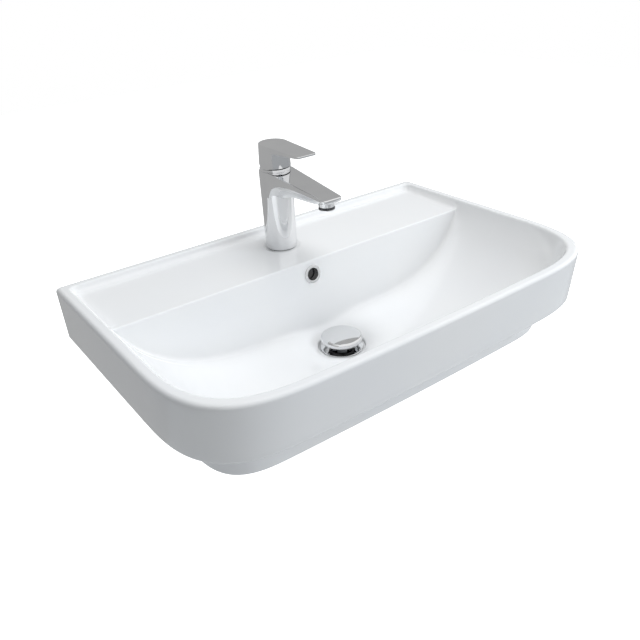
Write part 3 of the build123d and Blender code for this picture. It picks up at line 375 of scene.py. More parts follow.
def hollow(half, depth, corner, back_y, back_round, wall):
    """The hollow's surface inside a plan loop: ledge, panel strip and bowl. Gives the strip, the right
    half of the loop round them and the loop's numbers where the strip starts and ends."""
    strip = panel_strip(X_SHARE * half, wall)
    edge = strip[:, -1]
    start, end = back_y - back_round, -(depth - corner)
    upper = np.linspace(start, edge[0, 1], 18)[:-1]
    lower = np.linspace(edge[-1, 1], end, 12)[1:]
    side_share = (np.r_[upper, edge[:, 1], lower] - start) / (end - start)
    plan = half_outline(half, depth, corner, back_y, back_round, side_share)
    first = len(BACK_SHARE) + len(BACK_TURN) + len(upper) - 1
    last = first + len(edge) - 1
    z = np.r_[
        ledge_height(plan[:first, 0], plan[:first, 1], wall),
        edge[:, 2],
        bowl_height(plan[last + 1 :, 0], plan[last + 1 :, 1], wall),
    ]
    return strip, np.concatenate([plan, z[:, None]], -1), first, last, side_share


def both_sides(strip):
    """A strip of columns from the middle plane outwards, made whole by its mirror image."""
    return np.concatenate([strip[:, :0:-1] * (-1, 1, 1), strip], 1)


def rim_and_outside(loop, side_share):
    """Loops from the hollow's edge over the rim, down the apron, under its step, down the lower tier
    and across its foot. Each loop is a plan outline at one height."""

    def ring_at(out, z, inset=0.0, draft=0.0):
        share = out / RIM_WIDTH
        return outline_loop(
            HALF - RIM_WIDTH + out - inset - SIDE_DRAFT * draft,
            DEPTH - RIM_WIDTH + out - inset - FRONT_DRAFT * draft,
            CORNER - RIM_WIDTH + out - inset - (SIDE_DRAFT + FRONT_DRAFT) * draft,
            -RIM_WIDTH + out - inset,
            LEDGE_CORNER + (BACK_ROUND - LEDGE_CORNER) * share,
            z,
        )

    def outline_loop(half, depth, corner, back_y, back_round, z):
        plan = half_outline(half, depth, corner, back_y, back_round, side_share)
        z = np.broadcast_to(np.asarray(z, float), plan.shape[:1])
        return np.concatenate([plan, z[:, None]], -1)

    def tier_loop(out, z, back=0.0):
        return outline_loop(
            TIER_HALF + out, TIER_DEPTH + out, TIER_CORNER + out, -1 - back, BACK_ROUND, z
        )

    rows = [loop]
    for t in (0.82, 0.66, 0.5, 0.34, 0.18, 0.0):
        out = EDGE_OUT * (1 - t) ** 2 + 2 * t * (1 - t) * 0.2 - EDGE_IN * t * t
        rows.append(ring_at(out, loop[:, 2] * t * t))
    for out in (4.2, 5.8, 7.6):
        rows.append(ring_at(out, 0.0))
    for turn in np.radians(np.linspace(0, 90, 9)):
        z = 6 * (1 - math.cos(turn))
        rows.append(ring_at(RIM_WIDTH, -z, 6 * (1 - math.sin(turn)), z / APRON))
    for z in np.linspace(6, APRON - 4, 10)[1:]:
        rows.append(ring_at(RIM_WIDTH, -z, 0, z / APRON))
    for turn in np.radians(np.linspace(0, 90, 7))[1:]:
        z = APRON - 4 + 4 * math.sin(turn)
        rows.append(ring_at(RIM_WIDTH, -z, 4 * (1 - math.cos(turn)), z / APRON))
    outer = rows[-1]
    inner = tier_loop(2.0, -APRON)
    for share in (0.2, 0.45, 0.7, 0.9, 1.0):
        rows.append(outer + (inner - outer) * share)
    for turn in np.radians(np.linspace(0, 90, 5))[1:]:
        rows.append(tier_loop(2 * (1 - math.sin(turn)), -APRON - 2 * (1 - math.cos(turn))))
    for z in np.linspace(APRON + 2, TIER_FOOT - 5, 6)[1:]:
        rows.append(tier_loop(0, -z))
    for turn in np.radians(np.linspace(0, 90, 7))[1:]:
        inset = 5 * (1 - math.cos(turn))
        rows.append(tier_loop(-inset, -TIER_FOOT + 5 * (1 - math.sin(turn)), inset))
    rows.append(tier_loop(-11, -TIER_FOOT, 12))
    rows.append(outline_loop(*UNDER_PLAN, -TIER_FOOT + 1))
    return np.array(rows)


def overflow_grids(strip, first_row):
    """The panel round the overflow: loops from a square of the strip's points to a round hole, with the
    hole's own wall and end. Also gives the square's first and last row and column."""
    col = strip.shape[1] // 2
    rows, cols = slice(first_row, first_row + 9), slice(col - 4, col + 5)
    square = strip[rows, cols]
    rim = np.concatenate([square[0, :-1], square[:-1, -1], square[-1, :0:-1], square[:0:-1, 0]])
    lean = PANEL_LEAN
    centre = np.array([0, CREASE_Y - (OVERFLOW_DROP - CREASE_DROP) * math.tan(lean), -OVERFLOW_DROP])
    back = np.array([0, math.cos(lean), -math.sin(lean)])
    way = rim - centre
    way = way - (way @ back)[:, None] * back
    way = way / np.linalg.norm(way, axis=1)[:, None]

    def hole(r, deep):
        return centre + way * r + back * deep

    rows = [rim + (hole(12.6, 0) - rim) * t for t in (0, 0.3, 0.6, 0.85, 1)]
    rows += [hole(12.1, 0.2), hole(11.95, 0.7), hole(11.95, OVERFLOW_DEEP), hole(0, OVERFLOW_DEEP)]
    return np.array(rows), (first_row, first_row + 8, col - 4, col + 4)


def strip_without_square(strip, cut):
    """The strip as four grids round a square opening."""
    r0, r1, c0, c1 = cut
    return [strip[: r0 + 1], strip[r1:], strip[r0 : r1 + 1, : c0 + 1], strip[r0 : r1 + 1, c1:]]


def duct_rib():
    """The closed rib behind the panel and under the floor, which holds the overflow passage: a rounded
    oblong carried along a bent line in the middle plane."""
    slope = math.tan(PANEL_LEAN)
    line = [(CREASE_Y + 21.5 + (z + CREASE_DROP) * slope, z) for z in np.linspace(DUCT_TOP, DUCT_LOW, 8)]
    end_y = line[-1][0]
    line += [(end_y - 3, DUCT_LOW - 4.5), (end_y - 9, DUCT_LOW - 6), (WASTE_Y + 40, DUCT_LOW - 6)]
    line = np.array(line)
    along = np.gradient(line, axis=0)
    along /= np.hypot(*along.T)[:, None]
    turn = np.linspace(0, 2 * np.pi, 48, endpoint=False)
    wide = DUCT_HALF * np.sign(np.cos(turn)) * np.abs(np.cos(turn)) ** 0.3
    thick = DUCT_THICK * np.sign(np.sin(turn)) * np.abs(np.sin(turn)) ** 0.3
    rows = []
    for (y, z), (dy, dz) in zip(line, along):
        rows.append(np.stack([wide, y - dz * thick, z + dy * thick], -1))
    ends = [np.broadcast_to(row.mean(0), row.shape) for row in (rows[0], rows[-1])]
    return np.array([ends[0]] + rows + [ends[1]])


def basin_grids():
    """All grids of the basin."""
    strip, loop, first, last, side_share = hollow(
        HALF - RIM_WIDTH - EDGE_IN, DEPTH - RIM_WIDTH - EDGE_IN, CORNER - RIM_WIDTH - EDGE_IN,
        -RIM_WIDTH - EDGE_IN, LEDGE_CORNER - EDGE_IN, 0.0,
    )
    under, roof, under_first, under_last, _ = hollow(*UNDER_PLAN, WALL)
    outside = rim_and_outside(loop, side_share)
    grids = [(mirrored(outside), True)]
    grids.append((mirrored(np.array([outside[-1], roof])), True))

    # Ledge and its underside, joined through the tap hole
    top_edge = mirrored(np.concatenate([strip[0], loop[first - 1 :: -1]]))
    low_edge = mirrored(np.concatenate([under[0], roof[under_first - 1 :: -1]]))
    seat = circle_towards(top_edge, TAP_Y, 34)
    grids.append((between(top_edge, seat, wall_shares(24, 0.25), ledge_height), True))
    ways = (seat - (0, TAP_Y)) / 34
    radii = [34, 32.6, 31.5, 30.5, 29.5, 28.5, 27.5, 24, 18.2, TAP_HOLE_R]
    heights = [ledge_height(*(ways * r + (0, TAP_Y)).T) for r in radii[:-1]] + [TAP_SEAT - 0.7]
    tap_hole = turned(ways, TAP_Y, radii + [TAP_HOLE_R], heights + [UNDER_LEDGE])
    grids.append((tap_hole, True))
    bore = ways * TAP_HOLE_R + (0, TAP_Y)
    low = between(low_edge, bore, wall_shares(10, 0.5), lambda x, y: ledge_height(x, y, WALL))
    grids.append((low, True))

    # Panel, inside and behind
    whole = both_sides(strip)
    hole, cut = overflow_grids(whole, OVERFLOW_ROW)
    grids += [(g, False) for g in strip_without_square(whole, cut)]
    grids.append((hole, True))
    grids.append((both_sides(under), False))

    # Bowl and its underside, joined through the waste boss
    top_edge = mirrored(np.concatenate([strip[-1], loop[last + 1 :]]))
    low_edge = mirrored(np.concatenate([under[-1], roof[under_last + 1 :]]))
    recess = circle_towards(top_edge, WASTE_Y, 39.5)
    grids.append((between(top_edge, recess, wall_shares(60, 0.12), bowl_height), True))
    ways = (recess - (0, WASTE_Y)) / 39.5
    floor = bowl_height(*(ways * 39.5 + (0, WASTE_Y)).T)
    lip = bowl_height(*(ways * RECESS_R + (0, WASTE_Y)).T)
    radii, heights = [], []
    for t in np.linspace(0, 1, 7):
        radii.append(RECESS_R + 2.5 * (1 - t) ** 2)
        heights.append(floor * (1 - t) ** 2 + 2 * t * (1 - t) * lip + t * t * (lip - 2.5))
    radii += [RECESS_R, 36.7, 36, 24, 23.3, 23, 23, 23.8, 45.5, 46.6, BOSS_R]
    heights += [WASTE_SEAT + 1, WASTE_SEAT + 0.3, WASTE_SEAT, WASTE_SEAT, WASTE_SEAT - 0.3, WASTE_SEAT - 1]
    heights += [BOSS_FOOT + 1, BOSS_FOOT, BOSS_FOOT, BOSS_FOOT + 0.4, BOSS_FOOT + 1.5]
    boss = ways * BOSS_R + (0, WASTE_Y)
    radii.append(BOSS_R)
    heights.append(bowl_height(*boss.T, WALL))
    grids.append((turned(ways, WASTE_Y, radii, heights), True))
    low = between(low_edge, boss, wall_shares(24, 0.3), lambda x, y: bowl_height(x, y, WALL))
    grids.append((low, True))
    grids.append((duct_rib(), True))
    return [(g + (0, 0, RIM_Z), wraps) for g, wraps in grids]


# Tap. Heights are above the tap's base, which lies TAP_BASE under the rim
TAP_BASE = -10.0
BODY_TOP = 126.0
REACH = 147.4
TIP_ROUND = 5.0
EDGE_ROUND = 1.5
UNDER_ROUND = 0.9
AERATOR_Y = TAP_Y - 130.0
ROUND = np.linspace(0, np.pi / 2, 7)


def lifted(grid):
    """A grid from rim heights to the frame's heights. It wraps round."""
    return grid + (0, 0, RIM_Z), True


def revolved(profile, y, count=96):
    """Surface of revolution round an upright axis at (0, y): one row for each (radius, height)."""
    turn = np.linspace(0, 2 * np.pi, count, endpoint=False)
    r, z = np.array(profile, float).T
    plan = r[:, None, None] * np.stack([np.cos(turn), np.sin(turn)], -1)
    return np.concatenate([plan + (0, y), np.broadcast_to(z[:, None, None], (len(z), count, 1))], -1)


def column_grid():
    """The tap's column: a slightly widening cone with soft edges, a bored top and a closed foot."""
    foot = TAP_SEAT + 1 - TAP_BASE
    profile = [(0, foot), (24.5, foot), (25.05, foot + 0.15), (25.3, foot + 0.8)]
    profile += [(25.3 + 0.9 * t, foot + 0.8 + (123.9 - foot - 0.8) * t) for t in np.linspace(0, 1, 12)[1:]]
    profile += [(26.1, 124.6), (25.7, 125.2), (25.1, 125.75), (24.4, BODY_TOP)]
    profile += [(20.4, BODY_TOP), (20.2, 125.8)]
    profile += [(20.2, 116), (17.6, 116), (17.6, 94), (0, 94)]
    return revolved(profile, TAP_Y) + (0, 0, TAP_BASE)


def spout_grid():
    """The spout: sections across it at distances d in front of the axis. A section has a flat top, upright
    sides with rounded edges and a belly that is a parabola. The root grows down into the column by two
    falling exponentials, and the tip is rounded in plan and on its edges by quarter circles."""
    tip = REACH - TIP_ROUND * (1 - np.sin(np.linspace(0, np.pi / 2, 16)))
    d = np.r_[np.linspace(4, 40, 28), np.linspace(43, tip[0], 30)[:-1], tip, REACH]
    past = np.clip(d - 13, 0, None)
    half = 25 - 0.0575 * d
    into_tip = np.clip(d - REACH + TIP_ROUND, 0, None)
    half = half - TIP_ROUND + np.sqrt(np.clip(TIP_ROUND**2 - into_tip**2, 0, None))
    top = 128 - 0.105 * d
    side = top - 5.3 - 23.5 * np.exp(-past / 28) - 12 * np.exp(-past / 4)
    belly = side - 0.7 - 20 * (1 - np.clip(d / REACH, 0, 1) ** 4.5)
    end = np.clip(d - REACH + EDGE_ROUND, 0, EDGE_ROUND)
    drop = EDGE_ROUND - np.sqrt(np.clip(EDGE_ROUND**2 - end**2, 0, None))
    half, top, side, belly, drop = (v[:, None] for v in (half, top, side, belly, drop))
    top = top - drop
    side = side + drop * 0.6
    belly = belly + drop * 0.6
    flat = (half - EDGE_ROUND) * np.linspace(0, 1, 12)[None]
    edge_x = half - EDGE_ROUND * (1 - np.sin(ROUND[1:]))
    edge_z = top - EDGE_ROUND * (1 - np.cos(ROUND[1:]))
    down = np.linspace(0, 1, 9)[None, 1:]
    side_z = edge_z[:, -1:] + (side + UNDER_ROUND - edge_z[:, -1:]) * down
    turn_x = half - UNDER_ROUND * (1 - np.cos(ROUND[1:]))
    turn_z = side + UNDER_ROUND * (1 - np.sin(ROUND[1:]))
    inner = half - UNDER_ROUND
    across = 1 - np.linspace(0, 1, 15)[None, 1:]
    x = np.concatenate([flat, edge_x, np.broadcast_to(half, side_z.shape), turn_x, inner * across], 1)
    under = belly + (side - belly) * across**2
    z = np.concatenate([np.broadcast_to(top, flat.shape), edge_z, side_z, turn_z, under], 1)
    y = np.broadcast_to(TAP_Y - d[:, None], x.shape)
    clear = np.clip(np.hypot(x, y - TAP_Y) - 26.2, 0, 0.8) / 0.8
    z = np.minimum(z, BODY_TOP - 0.05 + clear * 3)
    z = np.where(np.hypot(x, y - TAP_Y) < 20.8, np.minimum(z, 92.0), z)
    right = np.stack([x, y, z], -1)
    loops = mirrored(right)
    ends = [loops[:1].mean(1, keepdims=True), loops[-1:].mean(1, keepdims=True)]
    ends = [np.broadcast_to(e, loops[:1].shape) for e in ends]
    return np.concatenate([ends[0], loops, ends[1]]) + (0, 0, TAP_BASE)


def collar_grid():
    """The outlet's collar, with a groove round it for the slotted band."""
    outer = [(10.2, 93.2), (11.5, 93.2), (11.85, 93.35), (12, 93.7), (12, 94.6), (11.1, 94.7)]
    outer += [(11.1, 98.5), (12, 98.6), (12, 104), (10.2, 104), (10.0, 103.8), (10.0, 93.4), (10.2, 93.2)]
    return revolved(outer, AERATOR_Y, 72) + (0, 0, TAP_BASE)


def band_grid():
    """The slotted band: a ring whose outside swells into ribs by a steep wave of the turn."""
    profile = [(11.05, 94.75), (11.6, 94.75), (11.6, 98.45), (11.05, 98.45), (11.05, 94.75)]
    loop = revolved(profile, AERATOR_Y, 240)
    turn = np.linspace(0, 2 * np.pi, 240, endpoint=False)
    rib = 0.35 * np.tanh(4 * np.cos(20 * turn))
    way = np.stack([np.cos(turn), np.sin(turn)], -1)
    loop[1:3, :, :2] += way * rib[:, None]
    return loop + (0, 0, TAP_BASE)


def outlet_grid():
    """The outlet's face: a disc whose height falls by 1.2 mm in nine straight slots."""
    r = np.r_[np.linspace(0, 9.3, 30), 9.5, 9.9, 9.9, 0]
    grid = revolved(np.stack([r, np.full_like(r, 94.2)], -1), AERATOR_Y, 120)
    slot = np.clip(2.5 * np.cos(grid[..., 0] * np.pi / 1.1), 0, 1) * (r < 9.4)[:, None]
    grid[..., 2] += 1.2 * slot
    grid[-2:, :, 2] = 103.5
    return grid + (0, 0, TAP_BASE)


def bolt_hole(x):
    """A closed bar through the back wall, level with the wall bolts."""
    turn = np.linspace(0, 2 * np.pi, 40, endpoint=False)
    rows = []
    for r, y in ((0, 6), (BOLT_HOLE_R, 6), (BOLT_HOLE_R, -20), (0, -20)):
        rows.append(np.stack([x + r * np.cos(turn), np.full(40, float(y)), r * np.sin(turn)], -1))
    return np.array(rows), True


def paint_shade_in_passage(piece):
    """Marks the points inside the overflow passage where near-black shade is painted: 0 at the panel, 1 from
    3 mm behind it.
    """
    mesh = piece.data
    at = np.empty(len(mesh.vertices) * 3)
    mesh.vertices.foreach_get("co", at)
    at = at.reshape(-1, 3) / MM - (0, 0, RIM_Z)
    middle = (0, CREASE_Y - (OVERFLOW_DROP - CREASE_DROP) * math.tan(PANEL_LEAN), -OVERFLOW_DROP)
    back = np.array([0, math.cos(PANEL_LEAN), -math.sin(PANEL_LEAN)])
    way = at - middle
    deep = way @ back
    aside = np.linalg.norm(way - deep[:, None] * back, axis=1)
    # The share is where the painted shade of the passage goes
    share = np.clip((deep - 1) / 2, 0, 1)
    share = share * (aside < OVERFLOW_R + 0.3) * (deep < OVERFLOW_DEEP + 0.5)
    mesh.attributes.new("passage", "FLOAT", "POINT").data.foreach_set("value", share)


# Materials

def effect(name, inputs, outputs):
    """A shared surface effect with named sockets. Gives the group and its two end nodes."""
    made = bpy.data.node_groups.new(name, "ShaderNodeTree")
    for label, kind, value in inputs:
        entry = made.interface.new_socket(name=label, in_out="INPUT", socket_type=kind)
        if value is not None:
            entry.default_value = value
    for label in outputs:
        made.interface.new_socket(name=label, in_out="OUTPUT", socket_type="NodeSocketFloat")
    return made, made.nodes.new("NodeGroupInput").outputs, made.nodes.new("NodeGroupOutput").inputs


def feed(tree, value, entry):
    """Links an output to an input, or sets the input to a number."""
    if isinstance(value, (int, float)):
        entry.default_value = value
    else:
        tree.links.new(value, entry)


def sums(tree, kind, a, b=0.0, clamp=False):
    """One arithmetic step on two values."""
    node = tree.nodes.new("ShaderNodeMath")
    node.operation = kind
    node.use_clamp = clamp
    feed(tree, a, node.inputs[0])
    feed(tree, b, node.inputs[1])
    return node.outputs[0]


def ramp(tree, source, start, end, low=0.0, high=1.0):
    """Maps a value from start..end to low..high, held at the ends."""
    node = tree.nodes.new("ShaderNodeMapRange")
    tree.links.new(source, node.inputs["Value"])
    for label, value in (("From Min", start), ("From Max", end), ("To Min", low), ("To Max", high)):
        feed(tree, value, node.inputs[label])
    return node.outputs["Result"]


def noise(tree, coords, scale, detail=2.0):
    """Soft cloudy value from 0 to 1."""
    node = tree.nodes.new("ShaderNodeTexNoise")
    tree.links.new(coords, node.inputs["Vector"])
    feed(tree, scale, node.inputs["Scale"])
    node.inputs["Detail"].default_value = detail
    return node.outputs["Fac"]


def cells(tree, coords, scale):
    """Distance to the nearest of many scattered points, in cell widths."""
    node = tree.nodes.new("ShaderNodeTexVoronoi")
    tree.links.new(coords, node.inputs["Vector"])
    feed(tree, scale, node.inputs["Scale"])
    return node.outputs["Distance"]


def stretched(tree, coords, x, y, z):
    """The coordinates, stretched along each axis."""
    node = tree.nodes.new("ShaderNodeMapping")
    tree.links.new(coords, node.inputs["Vector"])
    node.inputs["Scale"].default_value = (x, y, z)
    return node.outputs["Vector"]


FLECK_COLOUR = (0.78, 0.77, 0.74)


def make_effects():
    """The effects that several materials share."""
    place_and_scale = [("Place", "NodeSocketVector", None), ("Scale", "NodeSocketFloat", 10.0)]
    made = {}

    # Broad waves of a surface that flowed or was buffed, with finer ones on them
    tree, entry, out = effect("flow_waves", place_and_scale, ["Height", "Patch"])
    broad = noise(tree, entry["Place"], entry["Scale"], 1.0)
    fine = noise(tree, entry["Place"], sums(tree, "MULTIPLY", entry["Scale"], 5.0), 3.0)
    tree.links.new(sums(tree, "ADD", broad, sums(tree, "MULTIPLY", fine, 0.18)), out["Height"])
    tree.links.new(ramp(tree, broad, 0.32, 0.68), out["Patch"])
    made["waves"] = tree

    # Faint rims that water drops leave as they dry, in scattered patches
    tree, entry, out = effect("dried_drops", place_and_scale, ["Mark"])
    away = cells(tree, entry["Place"], entry["Scale"])
    rim = ramp(tree, sums(tree, "ABSOLUTE", sums(tree, "SUBTRACT", away, 0.24)), 0.0, 0.035, 1.0, 0.0)
    patch = noise(tree, entry["Place"], sums(tree, "MULTIPLY", entry["Scale"], 0.17), 1.0)
    tree.links.new(sums(tree, "MULTIPLY", rim, ramp(tree, patch, 0.55, 0.7)), out["Mark"])
    made["drops"] = tree

    # Soft smears that a cloth leaves, long one way
    tree, entry, out = effect("wiped_smears", place_and_scale, ["Smear"])
    long_way = stretched(tree, entry["Place"], 1.0, 0.6, 0.22)
    streak = noise(tree, long_way, entry["Scale"], 4.0)
    tree.links.new(ramp(tree, streak, 0.46, 0.72), out["Smear"])
    made["smears"] = tree

    # Pinholes and specks of dust
    tree, entry, out = effect("pin_specks", place_and_scale, ["Speck"])
    away = cells(tree, entry["Place"], entry["Scale"])
    tree.links.new(ramp(tree, away, 0.05, 0.11, 1.0, 0.0), out["Speck"])
    made["specks"] = tree

    # Grain of a moulded or cast surface
    tree, entry, out = effect("mould_grain", place_and_scale, ["Height", "Patch"])
    pebble = cells(tree, entry["Place"], entry["Scale"])
    cloud = noise(tree, entry["Place"], sums(tree, "MULTIPLY", entry["Scale"], 0.4), 4.0)
    tree.links.new(sums(tree, "ADD", sums(tree, "MULTIPLY", pebble, 0.5), cloud), out["Height"])
    tree.links.new(ramp(tree, cloud, 0.35, 0.65), out["Patch"])
    made["grain"] = tree

    # Fine rings that a lathe leaves, one above the other
    tree, entry, out = effect("lathe_rings", place_and_scale, ["Height", "Patch"])
    node = tree.nodes.new("ShaderNodeTexWave")
    node.bands_direction = "Z"
    node.inputs["Distortion"].default_value = 0.4
    tree.links.new(entry["Place"], node.inputs["Vector"])
    tree.links.new(entry["Scale"], node.inputs["Scale"])
    cloud = noise(tree, entry["Place"], sums(tree, "MULTIPLY", entry["Scale"], 0.2), 3.0)
    tree.links.new(node.outputs["Fac"], out["Height"])
    tree.links.new(ramp(tree, cloud, 0.35, 0.65), out["Patch"])
    made["rings"] = tree
    return made


EFFECTS = make_effects()


def use(tree, coords, kind, scale):
    """Puts a shared effect into a material and gives its outputs."""
    node = tree.nodes.new("ShaderNodeGroup")
    node.node_tree = EFFECTS[kind]
    tree.links.new(coords, node.inputs["Place"])
    node.inputs["Scale"].default_value = scale
    return node.outputs


def material(name):
    """A new node material: itself, its node tree, its shader and its object coordinates."""
    made = bpy.data.materials.new(name)
    made.use_nodes = True
    tree = made.node_tree
    shader = tree.nodes["Principled BSDF"]
    return made, tree, shader, tree.nodes.new("ShaderNodeTexCoord").outputs["Object"]


def blend_colour(tree, share, low, high):
    """Mixes two colours by a share. Either may be an output."""
    node = tree.nodes.new("ShaderNodeMix")
    node.data_type = "RGBA"
    feed(tree, share, node.inputs[0])
    for entry, colour in ((node.inputs[6], low), (node.inputs[7], high)):
        if isinstance(colour, tuple):
            entry.default_value = (*colour, 1)
        else:
            tree.links.new(colour, entry)
    return node.outputs[2]


def relief(tree, shader, height, deep, strength):
    """Bump on a shader from a height. deep is the height's full range in metres."""
    bump = tree.nodes.new("ShaderNodeBump")
    bump.inputs["Strength"].default_value = strength
    bump.inputs["Distance"].default_value = deep
    tree.links.new(height, bump.inputs["Height"])
    tree.links.new(bump.outputs["Normal"], shader.inputs["Normal"])


def ceramic_glaze():
    """White sanitary glaze: slow waves of the fired coat, a hardly seen change of tone, a few
    pinholes and dried drops. Shade is painted near black inside the overflow passage, by the mesh's own
    attribute."""
    made, tree, shader, coords = material("white_glaze")
    waves = use(tree, coords, "waves", 7.0)
    drops = use(tree, coords, "drops", 85.0)
    specks = use(tree, coords, "specks", 260.0)
    tone = blend_colour(tree, waves["Patch"], (0.905, 0.915, 0.925), (0.925, 0.93, 0.93))
    few = ramp(tree, noise(tree, coords, 60.0), 0.62, 0.7, 0.0, 0.35)
    fleck = sums(tree, "MULTIPLY", specks["Speck"], few)
    tone = blend_colour(tree, fleck, tone, FLECK_COLOUR)
    inside = tree.nodes.new("ShaderNodeAttribute")
    inside.attribute_name = "passage"
    # Painted shade: the overflow passage's inside is coloured near black, as if no light reached it
    tone = blend_colour(tree, inside.outputs["Fac"], tone, (0.012, 0.012, 0.014))
    tree.links.new(tone, shader.inputs["Base Color"])
    gloss = ramp(tree, waves["Height"], 0.3, 0.9, 0.09, 0.16)
    gloss = sums(tree, "ADD", gloss, sums(tree, "MULTIPLY", drops["Mark"], 0.1))
    tree.links.new(gloss, shader.inputs["Roughness"])
    shader.inputs["Coat Weight"].default_value = 0.6
    shader.inputs["Coat Roughness"].default_value = 0.04
    height = sums(tree, "SUBTRACT", waves["Height"], sums(tree, "MULTIPLY", fleck, 0.02))
    relief(tree, shader, height, 0.0035, 0.05)
    return made


def plated_chrome():
    """Bright chrome over buffed brass: slight buffing waves, wiped smears and dried drops in its gloss."""
    made, tree, shader, coords = material("chrome_plate")
    waves = use(tree, coords, "waves", 24.0)
    smears = use(tree, coords, "smears", 55.0)
    drops = use(tree, coords, "drops", 210.0)
    shader.inputs["Metallic"].default_value = 1.0
    tone = blend_colour(tree, waves["Patch"], (0.77, 0.775, 0.785), (0.81, 0.815, 0.82))
    dulled = blend_colour(tree, sums(tree, "MULTIPLY", drops["Mark"], 0.3), tone, (0.6, 0.6, 0.6))
    tree.links.new(dulled, shader.inputs["Base Color"])
    gloss = ramp(tree, smears["Smear"], 0.0, 1.0, 0.035, 0.085)
    gloss = sums(tree, "ADD", gloss, sums(tree, "MULTIPLY", drops["Mark"], 0.12))
    tree.links.new(gloss, shader.inputs["Roughness"])
    relief(tree, shader, waves["Height"], 0.0006, 0.03)
    return made


def worked(name, kind, scale, colours, gloss, deep, metallic=0.0):
    """A surface whose grain or tool marks give its relief and shade it between two colours, with
    smears in its gloss. gloss is its roughness from and to."""
    made, tree, shader, coords = material(name)
    marks = use(tree, coords, kind, scale)
    smears = use(tree, coords, "smears", 70.0)
    shader.inputs["Metallic"].default_value = metallic
    tree.links.new(blend_colour(tree, marks["Patch"], *colours), shader.inputs["Base Color"])
    tree.links.new(ramp(tree, smears["Smear"], 0.0, 1.0, *gloss), shader.inputs["Roughness"])
    relief(tree, shader, marks["Height"], deep, 0.35)
    return made


GLAZE = ceramic_glaze()
CHROME = plated_chrome()
LAPPED = worked(
    "lapped_ceramic", "grain", 900.0, ((0.83, 0.82, 0.79), (0.88, 0.87, 0.84)), (0.28, 0.4), 0.00004
)
GREY_PLASTIC = worked(
    "grey_plastic", "grain", 600.0, ((0.5, 0.52, 0.55), (0.57, 0.59, 0.61)), (0.36, 0.5), 0.00008
)
BRASS = worked(
    "turned_brass", "rings", 900.0, ((0.68, 0.52, 0.25), (0.77, 0.62, 0.34)), (0.22, 0.36), 0.00006, 1.0
)
STEEL = worked(
    "turned_steel", "rings", 1100.0, ((0.56, 0.57, 0.59), (0.66, 0.67, 0.68)), (0.2, 0.34), 0.00006, 1.0
)
RUBBER = worked(
    "black_rubber", "grain", 450.0, ((0.018, 0.018, 0.019), (0.035, 0.035, 0.036)), (0.5, 0.72), 0.00015
)
DARK_PLASTIC = worked(
    "dark_plastic", "grain", 700.0, ((0.05, 0.05, 0.055), (0.09, 0.09, 0.095)), (0.32, 0.48), 0.00006
)
SATIN_CAP = worked(
    "satin_cap", "grain", 500.0, ((0.55, 0.56, 0.58), (0.62, 0.63, 0.65)), (0.24, 0.34), 0.00004
)
BY_SLOT = {
    "glazed_ceramic": GLAZE,
    "chrome": CHROME,
    "ceramic_disc": LAPPED,
    "cartridge_plastic": GREY_PLASTIC,
    "brass": BRASS,
    "steel": STEEL,
    "black_rubber": RUBBER,
    "aerator_plastic": DARK_PLASTIC,
    "cap_plastic": SATIN_CAP,
}


def dress_nodes():
    """Gives every CAD node the material of its slot."""
    for row in frame["record"]["subparts"]:
        node = frame["nodes"][row["node"]]
        made = BY_SLOT[row["material_slot"]]
        if node.material_slots:
            for slot in node.material_slots:
                slot.link = "OBJECT"
                slot.material = made
        else:
            node.data.materials.append(made)


SOFT_LEFT = 0.24
SOFT_RIGHT = 0.62
CARD_GREY = 0.44
CAMERA_SPOT = (-0.556896, -0.962416, 0.518635)


def add_camera():
    """Camera fitted to the rim and apron outlines: yaw, pitch and roll in radians, focal length in pixels."""
    yaw, pitch, roll, focal, width = -0.6134, 0.5075, -0.0595, 683.3, 640
    ahead = Vector((-math.sin(yaw) * math.cos(pitch), math.cos(yaw) * math.cos(pitch), -math.sin(pitch)))
    level = Vector((math.cos(yaw), math.sin(yaw), 0))
    above = level.cross(ahead)
    right = math.cos(roll) * level + math.sin(roll) * above
    up = -math.sin(roll) * level + math.cos(roll) * above
    lens = bpy.data.cameras.new("camera")
    lens.sensor_width = 36
    lens.lens = 36 * focal / width
    lens.clip_end = 50
    camera = bpy.data.objects.new("camera", lens)
    turn = Matrix((right, up, -ahead)).transposed().to_4x4()
    camera.matrix_world = Matrix.Translation(CAMERA_SPOT) @ turn
    bpy.context.scene.collection.objects.link(camera)
    bpy.context.scene.camera = camera


def add_lamp(name, spot, aim, size, power, colour=(1, 1, 1)):
    """A soft lamp that polished faces don't mirror."""
    data = bpy.data.lights.new(name, "AREA")
    data.shape = "RECTANGLE"
    data.size, data.size_y = size
    data.energy = power
    data.color = colour
    lamp = bpy.data.objects.new(name, data)
    lamp.location = spot
    lamp.rotation_euler = (Vector(aim) - Vector(spot)).to_track_quat("-Z", "Y").to_euler()
    lamp.visible_glossy = False
    bpy.context.scene.collection.objects.link(lamp)


def add_card(name, corners, grey):
    """A grey card that only polished faces mirror, as in a studio."""
    mesh = bpy.data.meshes.new(name)
    mesh.from_pydata(corners, [], [(0, 1, 2, 3)])
    card = bpy.data.objects.new(name, mesh)
    bpy.context.scene.collection.objects.link(card)
    made, tree, shader, coords = material(name)
    shader.inputs["Base Color"].default_value = (0, 0, 0, 1)
    shader.inputs["Roughness"].default_value = 1.0
    shader.inputs["Specular IOR Level"].default_value = 0.0
    shader.inputs["Emission Color"].default_value = (grey, grey, grey, 1)
    shader.inputs["Emission Strength"].default_value = 1.0
    mesh.materials.append(made)
    card.visible_camera = False
    card.visible_diffuse = False
    card.visible_transmission = False
    card.visible_shadow = False


